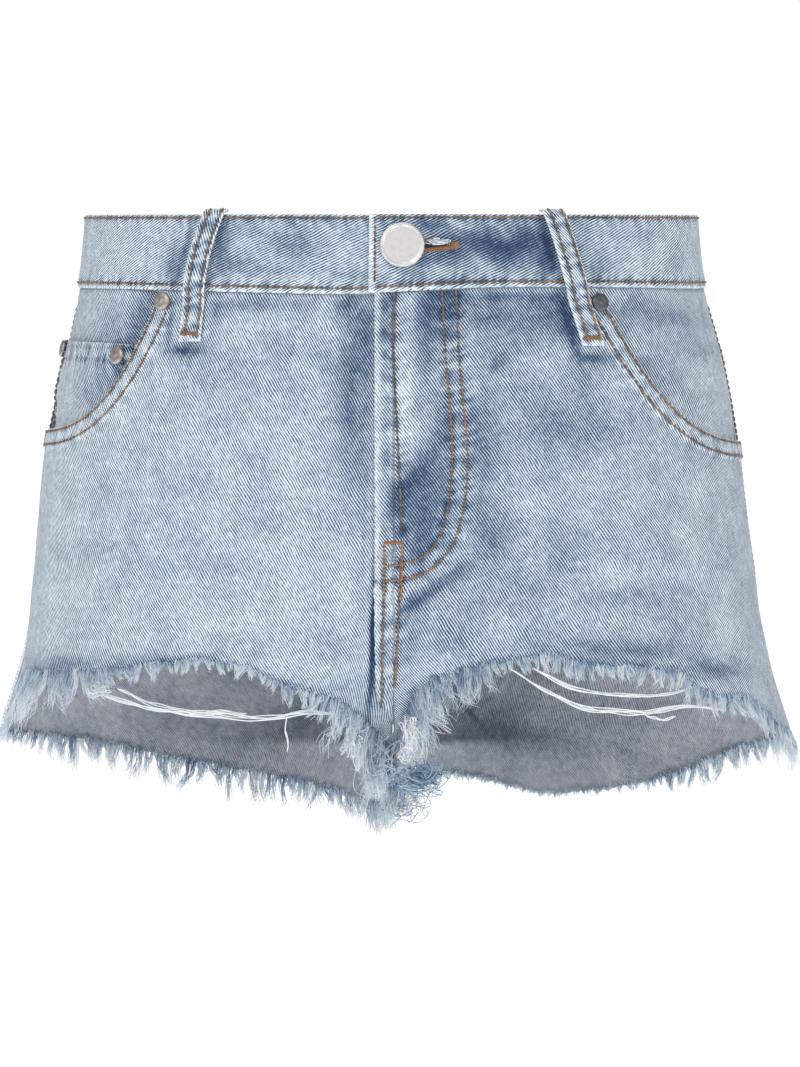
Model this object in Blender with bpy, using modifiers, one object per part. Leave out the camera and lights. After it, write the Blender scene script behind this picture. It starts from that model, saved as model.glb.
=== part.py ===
"""Cut-off denim shorts, filled out as they are worn, with nobody in them.

Run it with: blender --background --python part.py, or from Blender's text editor.

Every piece of cloth is a wall cut from one surface, body(), which says where the outer face of the
denim lies. A point on it is named by its height z and by the angle round the figure, in degrees:
0 is the centre front, 90 the side seam and 180 the centre back, negative on the wearer's right.
+Z is up, the front faces -Y and +X is the wearer's left. The origin is the middle of the waist
opening, level with the waistband's top edge at the centre front. Sizes are in metres.
"""

import math
from collections import namedtuple

import bmesh
import bpy
import numpy as np
from mathutils import Matrix, Vector

# ---------------------------------------------------------------- driving dimensions
GAP = 0.0003
DENIM = 0.0012
WAISTBAND_THICKNESS = 0.0026
WAISTBAND_HEIGHT = 0.0350
WAISTBAND_STEP = 0.0008
TAB_LIFT = 0.0016
UNDERLAP_DROP = 0.0014
WAIST_TILT = 0.060
CROTCH_Z = -0.250
CROTCH_Y = 0.010
SIDE_SEAM_Y = 0.004
FRONT_CLEFT_Z = -0.170
SEAT_CLEFT_Z = -0.150
INNER_THIGH_RADIUS = 0.0035
CROTCH_EASE = 0.0008
CREST_SHARE = 0.48
CREST_ANGLE = 40.0
SQUARENESS = 2.25
SLIT_TOP_Z = -0.174
SLIT_ANGLE = 4.5
POCKET_UNDERLAP = 0.014
COIN_TOP_Z = (-0.0588, -0.0548)
COIN_ANGLES = (48.0, 82.0)
CENTRE_LAP = 0.0088
FLY_UNDERLAP = 0.0095
FLY_END_Z = -0.163
LAP_END_Z = -0.216
LAP_LIFT = 0.0012
UNDERLAP_SINK = 0.0012
TAB_END_ANGLE = -4.3
UNDERLAP_END_ANGLE = 12.5
BUTTON_ANGLE = 1.45
BUTTON_Z = -0.0146
BUTTON_RADIUS = 0.0104
RIVET_RADIUS = 0.0043
LOOP_WIDTH = 0.0110
LOOP_THICKNESS = 0.0017
LOOP_BULGE = 0.0026
YOKE_SIDE_Z = -0.066
YOKE_CENTRE_Z = -0.100
BACK_POCKET_WIDTH = 0.122
SEAM_ANGLE = 0.005
SIDE_SEAM_ANGLE = 0.005

# The figure's outline at each height: half widths on the wearer's right and left, depth to the
# front and to the back of the side-seam plane's origin.
SECTION_COLUMNS = ("z", "right", "left", "front", "back")
SECTIONS = (
    (-0.320, 0.1990, 0.2010, 0.0880, 0.1060),
    (-0.280, 0.1940, 0.1960, 0.0900, 0.1100),
    (-0.243, 0.1865, 0.1900, 0.0925, 0.1170),
    (-0.212, 0.1785, 0.1810, 0.0950, 0.1230),
    (-0.170, 0.1730, 0.1735, 0.0990, 0.1280),
    (-0.131, 0.1700, 0.1685, 0.1020, 0.1290),
    (-0.102, 0.1665, 0.1650, 0.1030, 0.1260),
    (-0.064, 0.1580, 0.1580, 0.1020, 0.1160),
    (-0.030, 0.1510, 0.1490, 0.0995, 0.1040),
    (0.020, 0.1460, 0.1435, 0.0970, 0.0970),
)

# How much higher than WAISTBAND_HEIGHT the band is at each angle, as it lies here.
BAND_COLUMNS = ("angle", "more")
BAND = (
    (-180, 0.0), (-90, 0.0), (-50, 0.0), (-25, 0.0012), (-6, 0.0018), (2, 0.0008), (14, -0.0010),
    (35, -0.0012), (70, 0.0), (90, 0.0), (180, 0.0),
)

# The scoop of each front pocket: the angle of its top corner, its height at the side seam, and
# how soon it turns level.
Scoop = namedtuple("Scoop", "corner_angle side_z curve")
SCOOPS = {"right": Scoop(43.5, -0.0970, 6.3), "left": Scoop(37.3, -0.1025, 5.4)}

# Heights of the four cut hems, read at angles from the inseam (0 or 180) to the side slit (90).
HEM_COLUMNS = ("angle", "z")
HEMS = {
    "front_right": (
        (0, -0.2760), (3, -0.2540), (6.6, -0.2370), (9.3, -0.2300), (16, -0.2232), (22.5, -0.2180),
        (27, -0.2108), (34, -0.2056), (41, -0.2074), (55, -0.2112), (66, -0.2119), (80, -0.2140),
        (90, -0.2215),
    ),
    "front_left": (
        (0, -0.2620), (1.5, -0.2400), (3, -0.2245), (6, -0.2170), (13.5, -0.2119), (23.4, -0.2053),
        (28.8, -0.2034), (35, -0.2078), (46, -0.2098), (50.7, -0.2126), (56, -0.2215),
        (67, -0.2252), (75, -0.2370), (90, -0.2430),
    ),
    "back_right": (
        (90, -0.2431), (108, -0.2453), (119, -0.2492), (127, -0.2546), (135, -0.2598),
        (146, -0.2664), (154.5, -0.2708), (162, -0.2744), (172.5, -0.2787), (180, -0.2765),
    ),
    "back_left": (
        (90, -0.2440), (99.6, -0.2468), (114, -0.2537), (122, -0.2633), (130, -0.2715),
        (138.6, -0.2758), (146, -0.2770), (151.5, -0.2722), (161, -0.2662), (170, -0.2670),
        (180, -0.2625),
    ),
}

# The longest soft folds, each a ridge (height above 0) or a trough, placed as seen from the front
# or the back: its middle, its lean from the horizontal, its half length, half width and height.
Fold = namedtuple("Fold", "face x z lean length width height")
FOLDS = [Fold(*row) for row in (
    ("front", -0.045, -0.168, -28, 0.045, 0.010, -0.0016),
    ("front", -0.060, -0.190, -18, 0.050, 0.011, 0.0020),
    ("front", -0.120, -0.196, 6, 0.038, 0.009, -0.0016),
    ("front", -0.135, -0.165, 12, 0.030, 0.008, 0.0013),
    ("front", -0.140, -0.130, 14, 0.028, 0.008, -0.0012),
    ("front", 0.030, -0.172, 32, 0.030, 0.008, -0.0022),
    ("front", 0.048, -0.186, 24, 0.045, 0.011, 0.0021),
    ("front", 0.095, -0.192, 10, 0.045, 0.010, -0.0014),
    ("front", 0.128, -0.150, -12, 0.036, 0.009, 0.0013),
    ("front", 0.140, -0.176, -16, 0.034, 0.009, -0.0014),
    ("front", 0.060, -0.060, 12, 0.040, 0.014, 0.0010),
    ("back", -0.060, -0.215, 24, 0.050, 0.012, -0.0022),
    ("back", 0.058, -0.222, -26, 0.048, 0.012, -0.0022),
    ("back", -0.100, -0.235, 12, 0.045, 0.012, 0.0018),
    ("back", 0.105, -0.232, -14, 0.045, 0.012, 0.0018),
)]

# Belt loops: the angle at the waistband's top edge and at the loop's lower end, how far the loop
# reaches below the waistband, and how far its middle is bowed aside.
Loop = namedtuple("Loop", "name top_angle bottom_angle drop bow")
LOOPS = [Loop(*row) for row in (
    ("belt_loop_front_right", -32.6, -35.2, 0.0235, -0.0025),
    ("belt_loop_front_left", 29.3, 34.2, 0.0275, 0.0),
    ("belt_loop_back_right", -122.0, -121.0, 0.0245, 0.0),
    ("belt_loop_back_left", 122.0, 121.0, 0.0245, 0.0),
    ("belt_loop_back_centre", 180.0, 180.0, 0.0245, 0.0),
)]

Finish = namedtuple("Finish", "colour roughness metallic")
MATERIALS = {
    "denim_front": Finish((0.36, 0.47, 0.61), 0.9, 0.0),
    "denim_back": Finish((0.34, 0.45, 0.59), 0.9, 0.0),
    "denim_band": Finish((0.33, 0.43, 0.58), 0.9, 0.0),
    "denim_pocket": Finish((0.40, 0.51, 0.64), 0.9, 0.0),
    "frayed_cotton": Finish((0.62, 0.70, 0.79), 0.95, 0.0),
    "button_metal": Finish((0.62, 0.58, 0.55), 0.35, 1.0),
    "rivet_metal": Finish((0.45, 0.41, 0.38), 0.4, 1.0),
}


# ---------------------------------------------------------------- curves through tables
def smooth(at, stations, values):
    """A smooth curve through the values: cubic pieces whose slope at each station is the slope
    between its two neighbours."""
    stations = np.asarray(stations, float)
    values = np.asarray(values, float)
    slopes = np.gradient(values, stations)
    at = np.clip(np.asarray(at, float), stations[0], stations[-1])
    i = np.clip(np.searchsorted(stations, at, side="right") - 1, 0, len(stations) - 2)
    step = stations[i + 1] - stations[i]
    f = (at - stations[i]) / step
    start = values[i] * (1 + 2 * f) * (1 - f) ** 2 + slopes[i] * step * f * (1 - f) ** 2
    end = values[i + 1] * f**2 * (3 - 2 * f) + slopes[i + 1] * step * f**2 * (f - 1)
    return start + end


def read_table(table, columns, name, at):
    """One column of a table, smoothly between its rows. The first column says where each row is."""
    values = np.array(table)
    return smooth(at, values[:, 0], values[:, columns.index(name)])


def section(column, z):
    return read_table(SECTIONS, SECTION_COLUMNS, column, z)


def hem_z(name, angle):
    """The height of a panel's cut edge at an angle, which is positive on both sides."""
    return read_table(HEMS[name], HEM_COLUMNS, "z", angle)


def side_name(angle):
    return "right" if np.max(angle) < 0 else "left"


def ease(low, high, at):
    """0 up to low, 1 from high on, and a smooth step between."""
    f = np.clip((np.asarray(at, float) - low) / (high - low), 0, 1)
    return f * f * (3 - 2 * f)


# ---------------------------------------------------------------- the surface of the denim
def plain_body(z, angle):
    """The outer face without folds, as an array of points. Above the crotch each height is half
    of an oval. Below it, it is a closed ring round each leg, from the inseam to the side and back,
    and between the two the centre line swings in under the figure, along a quarter of an ellipse."""
    z, angle = np.broadcast_arrays(np.asarray(z, float), np.asarray(angle, float))
    side = np.where(angle < 0, -1.0, 1.0)
    around = np.abs(angle)
    in_front = around <= 90
    a = np.where(in_front, around, 180 - around)
    face = np.where(in_front, -1.0, 1.0)
    width = np.where(side < 0, section("right", z), section("left", z))
    depth = np.where(in_front, section("front", z), section("back", z))
    crotch, seam = face * CROTCH_Y + GAP / 2, face * SIDE_SEAM_Y + GAP / 2
    cleft_z = np.where(in_front, FRONT_CLEFT_Z, SEAT_CLEFT_Z)
    share = np.clip((cleft_z - z) / (cleft_z - CROTCH_Z), 0, 1)
    centre = depth - (depth - crotch) * (1 - np.sqrt(1 - share**2))
    below = np.clip(CROTCH_Z - z, 0, INNER_THIGH_RADIUS)
    inner_x = np.sqrt(2 * INNER_THIGH_RADIUS * below - below**2)
    crest_x = CREST_SHARE * width * share
    crest_angle = CREST_ANGLE * share
    # From the centre line or inseam to the crest of the thigh: one Bezier piece.
    f = np.clip(a / np.maximum(crest_angle, 1e-6), 0, 1)
    turn = math.pi / 2 * share**4
    reach = (1 - share**4) * 0.5 * crest_x + share**4 * 0.5523 * (depth - centre)
    knots_x = (inner_x, inner_x + reach * np.cos(turn), crest_x - 0.5523 * (crest_x - inner_x), crest_x)
    knots_d = (centre, centre + reach * np.sin(turn), depth, depth)
    weights = ((1 - f) ** 3, 3 * f * (1 - f) ** 2, 3 * f**2 * (1 - f), f**3)
    thigh_x = sum(w * k for w, k in zip(weights, knots_x))
    thigh_d = sum(w * k for w, k in zip(weights, knots_d))
    # From the crest round to the side seam: a quarter of a slightly squared ellipse.
    q = np.radians(90 * np.clip((a - crest_angle) / (90 - crest_angle), 0, 1))
    s, c = np.sin(q), np.cos(q)
    k = (s**SQUARENESS + c**SQUARENESS) ** (1 / SQUARENESS)
    hip_x = crest_x + (width - crest_x) * s / k
    hip_d = seam + (depth - seam) * c / k
    on_hip = a >= crest_angle
    x = side * (np.where(on_hip, hip_x, thigh_x) + GAP / 2 + CROTCH_EASE * share**4)
    y = face * np.where(on_hip, hip_d, thigh_d)
    return np.stack([x, y, z], axis=-1)


def outward(z, angle):
    """The outward direction of the plain surface, from two short steps along it."""
    step_z, step_angle = 1e-4, 0.05
    side = np.where(np.asarray(angle) < 0, -1.0, 1.0)
    towards = np.where(np.abs(angle) < 90, 1.0, -1.0)
    along = plain_body(z, angle + side * towards * step_angle) - plain_body(z, angle)
    up = plain_body(z + step_z, angle) - plain_body(z - step_z, angle)
    normal = np.cross(along, up) * (side * towards)[..., None]
    return normal / np.linalg.norm(normal, axis=-1, keepdims=True)


def fold_height(points, angle):
    """How far the folds lift each point: each is a bell across its line and along it."""
    lift = np.zeros(points.shape[:-1])
    in_front = np.abs(angle) < 90
    for fold in FOLDS:
        lean = math.radians(fold.lean)
        dx, dz = points[..., 0] - fold.x, points[..., 2] - fold.z
        along = dx * math.cos(lean) + dz * math.sin(lean)
        aside = dz * math.cos(lean) - dx * math.sin(lean)
        bell = np.exp(-((along / fold.length) ** 2) - (aside / fold.width) ** 2)
        lift += fold.height * bell * (in_front == (fold.face == "front"))
    return lift


def body(z, angle, out=0.0):
    """The outer face of the denim, moved out (or in, below 0) by a distance."""
    z, angle = np.broadcast_arrays(np.asarray(z, float), np.asarray(angle, float))
    points = plain_body(z, angle)
    lift = fold_height(points, angle) + out
    return points + outward(z, angle) * np.asarray(lift)[..., None]


def angle_at(x, z, face_angles):
    """The angle, among these, at which the figure is this far from its middle, at each height.
    face_angles starts at the centre line, and its sign gives the side."""
    x, z = np.broadcast_arrays(np.asarray(x, float), np.asarray(z, float))
    found = [
        np.interp(wanted, np.abs(plain_body(height, face_angles)[:, 0]), face_angles)
        for wanted, height in zip(x.ravel(), z.ravel())
    ]
    return np.reshape(found, x.shape)


def top_z(angle):
    """The waistband's top edge: a plane that rises a little towards the back."""
    return WAIST_TILT * (plain_body(0.0, angle)[..., 1] + section("front", 0.0))


def waist_seam_z(angle):
    return top_z(angle) - WAISTBAND_HEIGHT - read_table(BAND, BAND_COLUMNS, "more", angle)


def pocket_edge_z(angle):
    """The scoop of a front pocket: steep under the waistband, level at the side seam."""
    scoop = SCOOPS[side_name(angle)]
    f = np.clip((np.abs(angle) - scoop.corner_angle) / (90 - scoop.corner_angle), 0, 1)
    seam = waist_seam_z(angle) - GAP
    return seam + (scoop.side_z - seam) * (1 - (1 - f) ** scoop.curve)


def yoke_z(angle):
    """The seam under the yoke, straight from the side down to the centre back."""
    f = (np.abs(angle) - 90) / 90
    return YOKE_SIDE_Z + (YOKE_CENTRE_Z - YOKE_SIDE_Z) * f


def slit(z, hem_height):
    """How far one side of the side slit has opened at a height, in degrees."""
    return SLIT_ANGLE * np.clip((SLIT_TOP_Z - z) / (SLIT_TOP_Z - hem_height), 0, 1) ** 0.8


def lap(side, z):
    """How far past the centre a front reaches, as an angle: the left one over the right one down
    to the crotch, and the right one under it down to the end of the fly."""
    reach, end_z, span = (CENTRE_LAP, LAP_END_Z, 0.020) if side > 0 else (
        FLY_UNDERLAP, FLY_END_Z, 0.022)
    other = -side * np.linspace(SEAM_ANGLE, 30, 121)
    return angle_at(reach, z, other) * ease(end_z, end_z + span, z)


def lap_offset(side, z, angle):
    """The left front lies a little proud along the lap, and the right one sinks under it."""
    x = plain_body(z, angle)[..., 0]
    held = ease(LAP_END_Z - 0.022, LAP_END_Z - 0.002, z)
    if side > 0:
        return LAP_LIFT * held * ease(0.022, 0.012, x)
    return -UNDERLAP_SINK * held * ease(-0.022, -0.010, x)


# ---------------------------------------------------------------- Blender objects
def clear_scene():
    for obj in list(bpy.data.objects):
        bpy.data.objects.remove(obj)


def new_material(name):
    finish = MATERIALS[name]
    material = bpy.data.materials.new(name)
    material.use_nodes = True
    shader = material.node_tree.nodes["Principled BSDF"]
    shader.inputs["Base Color"].default_value = (*finish.colour, 1.0)
    shader.inputs["Roughness"].default_value = finish.roughness
    shader.inputs["Metallic"].default_value = finish.metallic
    return material


def add_object(name, data, material, collection):
    obj = bpy.data.objects.new(name, data)
    if material is not None:
        data.materials.append(material)
    collection.objects.link(obj)
    return obj


def cloth(name, points, thickness, material, collection):
    """A wall of cloth: a grid whose points lie on its outer face, thickened inwards. points has
    one row for each line across, from the top down, and goes round anticlockwise from above."""
    rows, columns = points.shape[:2]
    bm = bmesh.new()
    bmesh.ops.create_grid(bm, x_segments=columns - 1, y_segments=rows - 1, size=0.5)
    bm.verts.ensure_lookup_table()
    for vert, place in zip(bm.verts, points[::-1].reshape(-1, 3)):
        vert.co = place
    mesh = bpy.data.meshes.new(name)
    bm.to_mesh(mesh)
    bm.free()
    mesh.shade_smooth()
    obj = add_object(name, mesh, material, collection)
    solidify = obj.modifiers.new("wall", "SOLIDIFY")
    solidify.thickness = thickness
    solidify.offset = -1
    return obj


def across(count, power=1.0):
    return np.linspace(0, 1, count + 1) ** power


def crotch_rows(top, inseam_z, count):
    """Shares of the way down a panel, spaced evenly along its centre seam, which bends in under
    the figure and so falls only a little there."""
    z = np.linspace(top, inseam_z, 800)
    centre = plain_body(z, 0.0)
    length = np.concatenate([[0], np.cumsum(np.linalg.norm(np.diff(centre, axis=0), axis=1))])
    even = np.interp(np.linspace(0, length[-1], count + 1), length, z)
    mixed = 0.6 * (top - even) / (top - inseam_z) + 0.4 * np.linspace(0, 1, count + 1)
    return mixed


# ---------------------------------------------------------------- fronts
def spread(angles, lines, shares, columns):
    """Angles for a panel's columns, spaced by a mix of the lengths of these lines across it and of
    the angle itself, each with its share."""
    mixed = shares[-1] * np.linspace(0, 1, len(angles))
    for line, share in zip(lines, shares):
        steps = np.linalg.norm(np.diff(line, axis=0), axis=1)
        mixed = mixed + share * np.concatenate([[0], np.cumsum(steps)]) / steps.sum()
    return np.interp(np.linspace(0, 1, columns + 1), mixed, angles)


def front_columns(side, columns=24):
    """Angles from the centre to the side: close together where the pocket's scoop is steep, and
    beside the inseam, where the hem runs back between the legs."""
    name = "front_left" if side > 0 else "front_right"
    angles = np.linspace(SEAM_ANGLE, 90, 1441)
    edge = np.minimum(pocket_edge_z(side * angles), waist_seam_z(side * angles) - GAP)
    lines = [plain_body(z, side * angles) for z in (edge, hem_z(name, angles))]
    return spread(angles, lines, (0.45, 0.45, 0.10), columns)


def front_grid(side, rows=18):
    """(heights, angles) of a front panel's points, from the waist seam and the pocket's scoop down
    to the cut hem."""
    name = "front_left" if side > 0 else "front_right"
    nominal = front_columns(side)[None, :]
    t = crotch_rows(-WAISTBAND_HEIGHT, HEMS[name][0][1], rows)[:, None]
    top = np.minimum(pocket_edge_z(side * nominal), waist_seam_z(side * nominal) - 2 * GAP)
    z = top + (hem_z(name, nominal) - top) * t
    edge = lap(side, z[:, 0])[:, None]
    opened = (SIDE_SEAM_ANGLE + slit(z, HEMS[name][-1][1])) * ease(70, 90, nominal)
    return z, side * (nominal - opened) + edge * np.clip(1 - nominal / 12, 0, 1) ** 2


def make_front(side, materials, collection):
    z, angle = front_grid(side)
    points = body(z, angle, lap_offset(side, z, angle))
    name = "front_left" if side > 0 else "front_right"
    if side < 0:
        points = points[:, ::-1]
    return cloth(name, points, DENIM, materials["denim_front"], collection)


# ---------------------------------------------------------------- front pockets
def facing_depth(z, angle):
    """How deep a pocket's facing lies: under the front, and under the coin pocket on the right, and
    nearly level with the front where it is sewn into the waistband and the side seam."""
    name = side_name(angle)
    under = DENIM + 2 * GAP if name == "left" else 2 * DENIM + 4 * GAP
    clear_of_edge = ease(0.004, 0.020, z - pocket_edge_z(angle))
    past_corner = ease(1, 10, np.abs(angle) - SCOOPS[name].corner_angle)
    return under + (2 * GAP - under) * clear_of_edge * past_corner


def make_pocket_facing(side, materials, collection):
    """The denim seen inside a scoop pocket, which runs on under the front panel."""
    columns = front_columns(side)
    corner = SCOOPS["left" if side > 0 else "right"].corner_angle
    angle = side * columns[columns > corner - 9][None, :]
    top = waist_seam_z(angle) - GAP
    bottom = pocket_edge_z(angle) - POCKET_UNDERLAP
    z = top + (bottom - top) * across(7)[:, None]
    angle = angle + 0 * z
    points = body(z, angle, -facing_depth(z, angle))
    name = "pocket_facing_left" if side > 0 else "pocket_facing_right"
    if side < 0:
        points = points[:, ::-1]
    return cloth(name, points, DENIM, materials["denim_pocket"], collection)


def make_coin_pocket(materials, collection):
    """The small fifth pocket on the right facing, whose lower edge goes under the front."""
    s = across(8)[None, :]
    angle = -(COIN_ANGLES[0] + (COIN_ANGLES[1] - COIN_ANGLES[0]) * s)
    top = COIN_TOP_Z[0] + (COIN_TOP_Z[1] - COIN_TOP_Z[0]) * s
    bottom = np.minimum(pocket_edge_z(angle), top) - POCKET_UNDERLAP * 0.6
    z = top + (bottom - top) * across(5)[:, None]
    angle = angle + 0 * z
    points = body(z, angle, DENIM + 2 * GAP - facing_depth(z, angle))[:, ::-1]
    return cloth("coin_pocket", points, DENIM, materials["denim_pocket"], collection)


# ---------------------------------------------------------------- backs
def back_columns(side, columns=21):
    """Angles from the centre back to the side, close together beside the inseam."""
    name = "back_left" if side > 0 else "back_right"
    angles = np.linspace(180 - SEAM_ANGLE, 90, 1441)
    lines = [plain_body(z, side * angles) for z in (yoke_z(angles), hem_z(name, angles))]
    return spread(angles, lines, (0.25, 0.60, 0.15), columns)


def make_yoke(side, materials, collection):
    s, t = across(12)[None, :], across(4)[:, None]
    around = 180 - SEAM_ANGLE - (90 - SEAM_ANGLE - SIDE_SEAM_ANGLE) * s + 0 * t
    top = waist_seam_z(around) - GAP
    z = top + (yoke_z(around) - top) * t
    points = body(z, side * around)
    name = "yoke_left" if side > 0 else "yoke_right"
    if side > 0:
        points = points[:, ::-1]
    return cloth(name, points, DENIM, materials["denim_back"], collection)


def slit_flare(side, z, angle):
    """Beside the slit the back stands out past the front, most on the right."""
    most = 0.0045 if side < 0 else 0.0010
    return most * ease(SLIT_TOP_Z, -0.243, z) * ease(112, 92, np.abs(angle))


def back_grid(side, rows=17):
    """(heights, angles) of a back panel's points, from the yoke down to the cut hem."""
    name = "back_left" if side > 0 else "back_right"
    nominal = back_columns(side)[None, :]
    t = crotch_rows(YOKE_CENTRE_Z, HEMS[name][-1][1], rows)[:, None]
    top = yoke_z(nominal) - GAP
    z = top + (hem_z(name, nominal) - top) * t
    open_by = SIDE_SEAM_ANGLE + slit(z, HEMS[name][0][1])
    around = nominal + open_by * ease(110, 90, nominal)
    return z, side * around


def make_back(side, materials, collection):
    name = "back_left" if side > 0 else "back_right"
    z, angle = back_grid(side)
    points = body(z, angle, slit_flare(side, z, angle))
    if side > 0:
        points = points[:, ::-1]
    return cloth(name, points, DENIM, materials["denim_back"], collection)


def make_back_pocket(side, materials, collection):
    """A patch pocket: a little narrower at the foot, which comes to a blunt point."""
    s, t = across(10)[None, :] * 2 - 1, across(11)[:, None]
    middle_x, top_z_, corner_z, point_z = 0.079, -0.098, -0.214, -0.232
    half = BACK_POCKET_WIDTH / 2 * (1 - 0.10 * t)
    x = middle_x + half * s
    foot = point_z + (corner_z - point_z) * np.abs(s)
    top = top_z_ - 0.010 * s
    z = top + (foot - top) * t
    angle = angle_at(x, z, side * np.linspace(180 - SEAM_ANGLE, 90, 361))
    points = body(z, angle, DENIM + 4 * GAP)
    name = "back_pocket_left" if side > 0 else "back_pocket_right"
    if side < 0:
        points = points[:, ::-1]
    return cloth(name, points[:, ::-1], DENIM, materials["denim_pocket"], collection)


# ---------------------------------------------------------------- waistband
def waistband_lift(turn):
    """How far out the band lies as it goes round: it starts under the tab and ends over it."""
    under = -UNDERLAP_DROP * ease(-16.0, -4.0, turn)
    over = TAB_LIFT * ease(-338.0, -356.0, turn)
    return WAISTBAND_STEP + under + over


def make_waistband(materials, collection, cutters):
    """One strip that starts under the tab, goes round by the right side and the back, and ends
    in the tab, through which the buttonhole is cut."""
    last = TAB_END_ANGLE - 360
    turns = np.unique(np.concatenate([
        np.arange(-360, 13, 7.5),
        [UNDERLAP_END_ANGLE, last],
    ]))[::-1]
    turns = turns[(turns <= UNDERLAP_END_ANGLE) & (turns >= last)]
    angle = (turns + 180) % 360 - 180
    t = across(2)[:, None]
    z = top_z(angle) + (waist_seam_z(angle) - top_z(angle)) * t
    points = body(z, angle[None, :] + 0 * t, waistband_lift(turns)[None, :] + 0 * t)
    band = cloth("waistband", points[:, ::-1], WAISTBAND_THICKNESS, materials["denim_band"], collection)
    slot = buttonhole_cutter(cutters)
    cut = band.modifiers.new("buttonhole", "BOOLEAN")
    cut.object = slot
    cut.operation = "DIFFERENCE"
    cut.solver = "MANIFOLD"
    return band


def on_surface(z, angle, out):
    """A matrix whose Z points out of the cloth and whose Y points up along it."""
    place = Vector(body(z, angle, out))
    normal = Vector(outward(z, angle))
    right = Vector((0, 0, 1)).cross(normal).normalized()
    up = normal.cross(right)
    return Matrix.Translation(place) @ Matrix((right, up, normal)).transposed().to_4x4()


def buttonhole_cutter(cutters):
    """A keyhole: a round eye where the button's shank sits and a slot towards the side."""
    eye, half_slot, length, depth = 0.0034, 0.0011, 0.0150, 0.0026
    sweep = np.radians(np.linspace(22, 338, 15))
    outline = [(eye * math.cos(a), eye * math.sin(a)) for a in sweep]
    outline += [(length, -half_slot), (length, half_slot)]
    bm = bmesh.new()
    face = bm.faces.new([bm.verts.new((x, y, -depth)) for x, y in outline])
    side = bmesh.ops.extrude_face_region(bm, geom=[face])
    moved = [v for v in side["geom"] if isinstance(v, bmesh.types.BMVert)]
    bmesh.ops.translate(bm, verts=moved, vec=(0, 0, 2 * depth))
    bmesh.ops.recalc_face_normals(bm, faces=bm.faces)
    mesh = bpy.data.meshes.new("buttonhole_cutter")
    bm.to_mesh(mesh)
    bm.free()
    slot = add_object("buttonhole_cutter", mesh, None, cutters)
    middle = WAISTBAND_STEP + TAB_LIFT - WAISTBAND_THICKNESS / 2
    slot.matrix_world = on_surface(BUTTON_Z, BUTTON_ANGLE, middle)
    slot.hide_render = True
    slot.display_type = "WIRE"
    return slot


# ---------------------------------------------------------------- belt loops
def make_belt_loop(loop, materials, collection):
    """A strip folded over the waistband's top edge, standing off the band in a low bow, and
    folded under and sewn flat below it. Its side outline is pushed across, level with the band."""
    bottom_z = float(waist_seam_z(loop.bottom_angle)) - loop.drop
    upper_z = float(top_z(loop.top_angle))
    top = Vector(body(upper_z, loop.top_angle, WAISTBAND_STEP))
    foot = Vector(body(bottom_z, loop.bottom_angle, 0.0))
    down = (foot - top).normalized()
    out = Vector(outward((upper_z + bottom_z) / 2, (loop.top_angle + loop.bottom_angle) / 2))
    out = (out - down * out.dot(down)).normalized()
    level = Vector((-out.y, out.x, 0)).normalized()
    length = (foot - top).length

    def cloth_out(f):
        """How far out the band or panel lies at a share of the way down."""
        z = upper_z + (bottom_z - upper_z) * f
        angle = loop.top_angle + (loop.bottom_angle - loop.top_angle) * f
        step = WAISTBAND_STEP if z > float(waist_seam_z(angle)) - 0.002 else 0.0
        return (Vector(body(z, angle, step)) - top).dot(out)

    band_share = WAISTBAND_HEIGHT / (WAISTBAND_HEIGHT + loop.drop)
    shares = np.linspace(0, 1, 13)
    clear = 3 * GAP
    bow = LOOP_BULGE * np.sin(math.pi * np.clip(shares / (band_share + 0.10), 0, 1)) ** 0.8
    inside = np.array([cloth_out(f) for f in shares]) + clear + bow
    outside = inside + LOOP_THICKNESS
    outside[-3:] += LOOP_THICKNESS / 2
    back_edge = -WAISTBAND_THICKNESS + GAP
    outline = [(back_edge, -clear), (back_edge, -clear - LOOP_THICKNESS)]
    outline += [(outside[0] - 0.6 * LOOP_THICKNESS, -clear - LOOP_THICKNESS), (outside[0], -clear)]
    outline += [(o, length * f) for o, f in zip(outside[1:], shares[1:])]
    outline += [(o, length * f) for o, f in zip(inside[:0:-1], shares[:0:-1])]
    outline += [(inside[0], -clear)]
    half = level * (LOOP_WIDTH / 2 / (1 - abs(level.dot(down)) ** 2) ** 0.5)
    bm = bmesh.new()
    aside = [level * loop.bow * math.sin(math.pi * min(max(d / length, 0), 1)) for _, d in outline]
    places = [top + out * o + down * d + a - half for (o, d), a in zip(outline, aside)]
    flat = bm.faces.new([bm.verts.new(place) for place in places])
    pushed = bmesh.ops.extrude_face_region(bm, geom=[flat])["geom"]
    moved = [v for v in pushed if isinstance(v, bmesh.types.BMVert)]
    bmesh.ops.translate(bm, verts=moved, vec=2 * half)
    bmesh.ops.recalc_face_normals(bm, faces=bm.faces)
    mesh = bpy.data.meshes.new(loop.name)
    bm.to_mesh(mesh)
    bm.free()
    return add_object(loop.name, mesh, materials["denim_band"], collection)


# ---------------------------------------------------------------- button and rivets
def turned(name, profile, steps, material, collection):
    """A solid turned about Z from a profile of (radius, height), top to bottom."""
    bm = bmesh.new()
    verts = [bm.verts.new((radius, 0, height)) for radius, height in profile]
    for a, b in zip(verts, verts[1:]):
        bm.edges.new((a, b))
    mesh = bpy.data.meshes.new(name)
    bm.to_mesh(mesh)
    bm.free()
    obj = add_object(name, mesh, material, collection)
    screw = obj.modifiers.new("turn", "SCREW")
    screw.steps = screw.render_steps = steps
    screw.use_merge_vertices = True
    screw.merge_threshold = 0.00005
    screw.use_smooth_shade = True
    return obj


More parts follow.
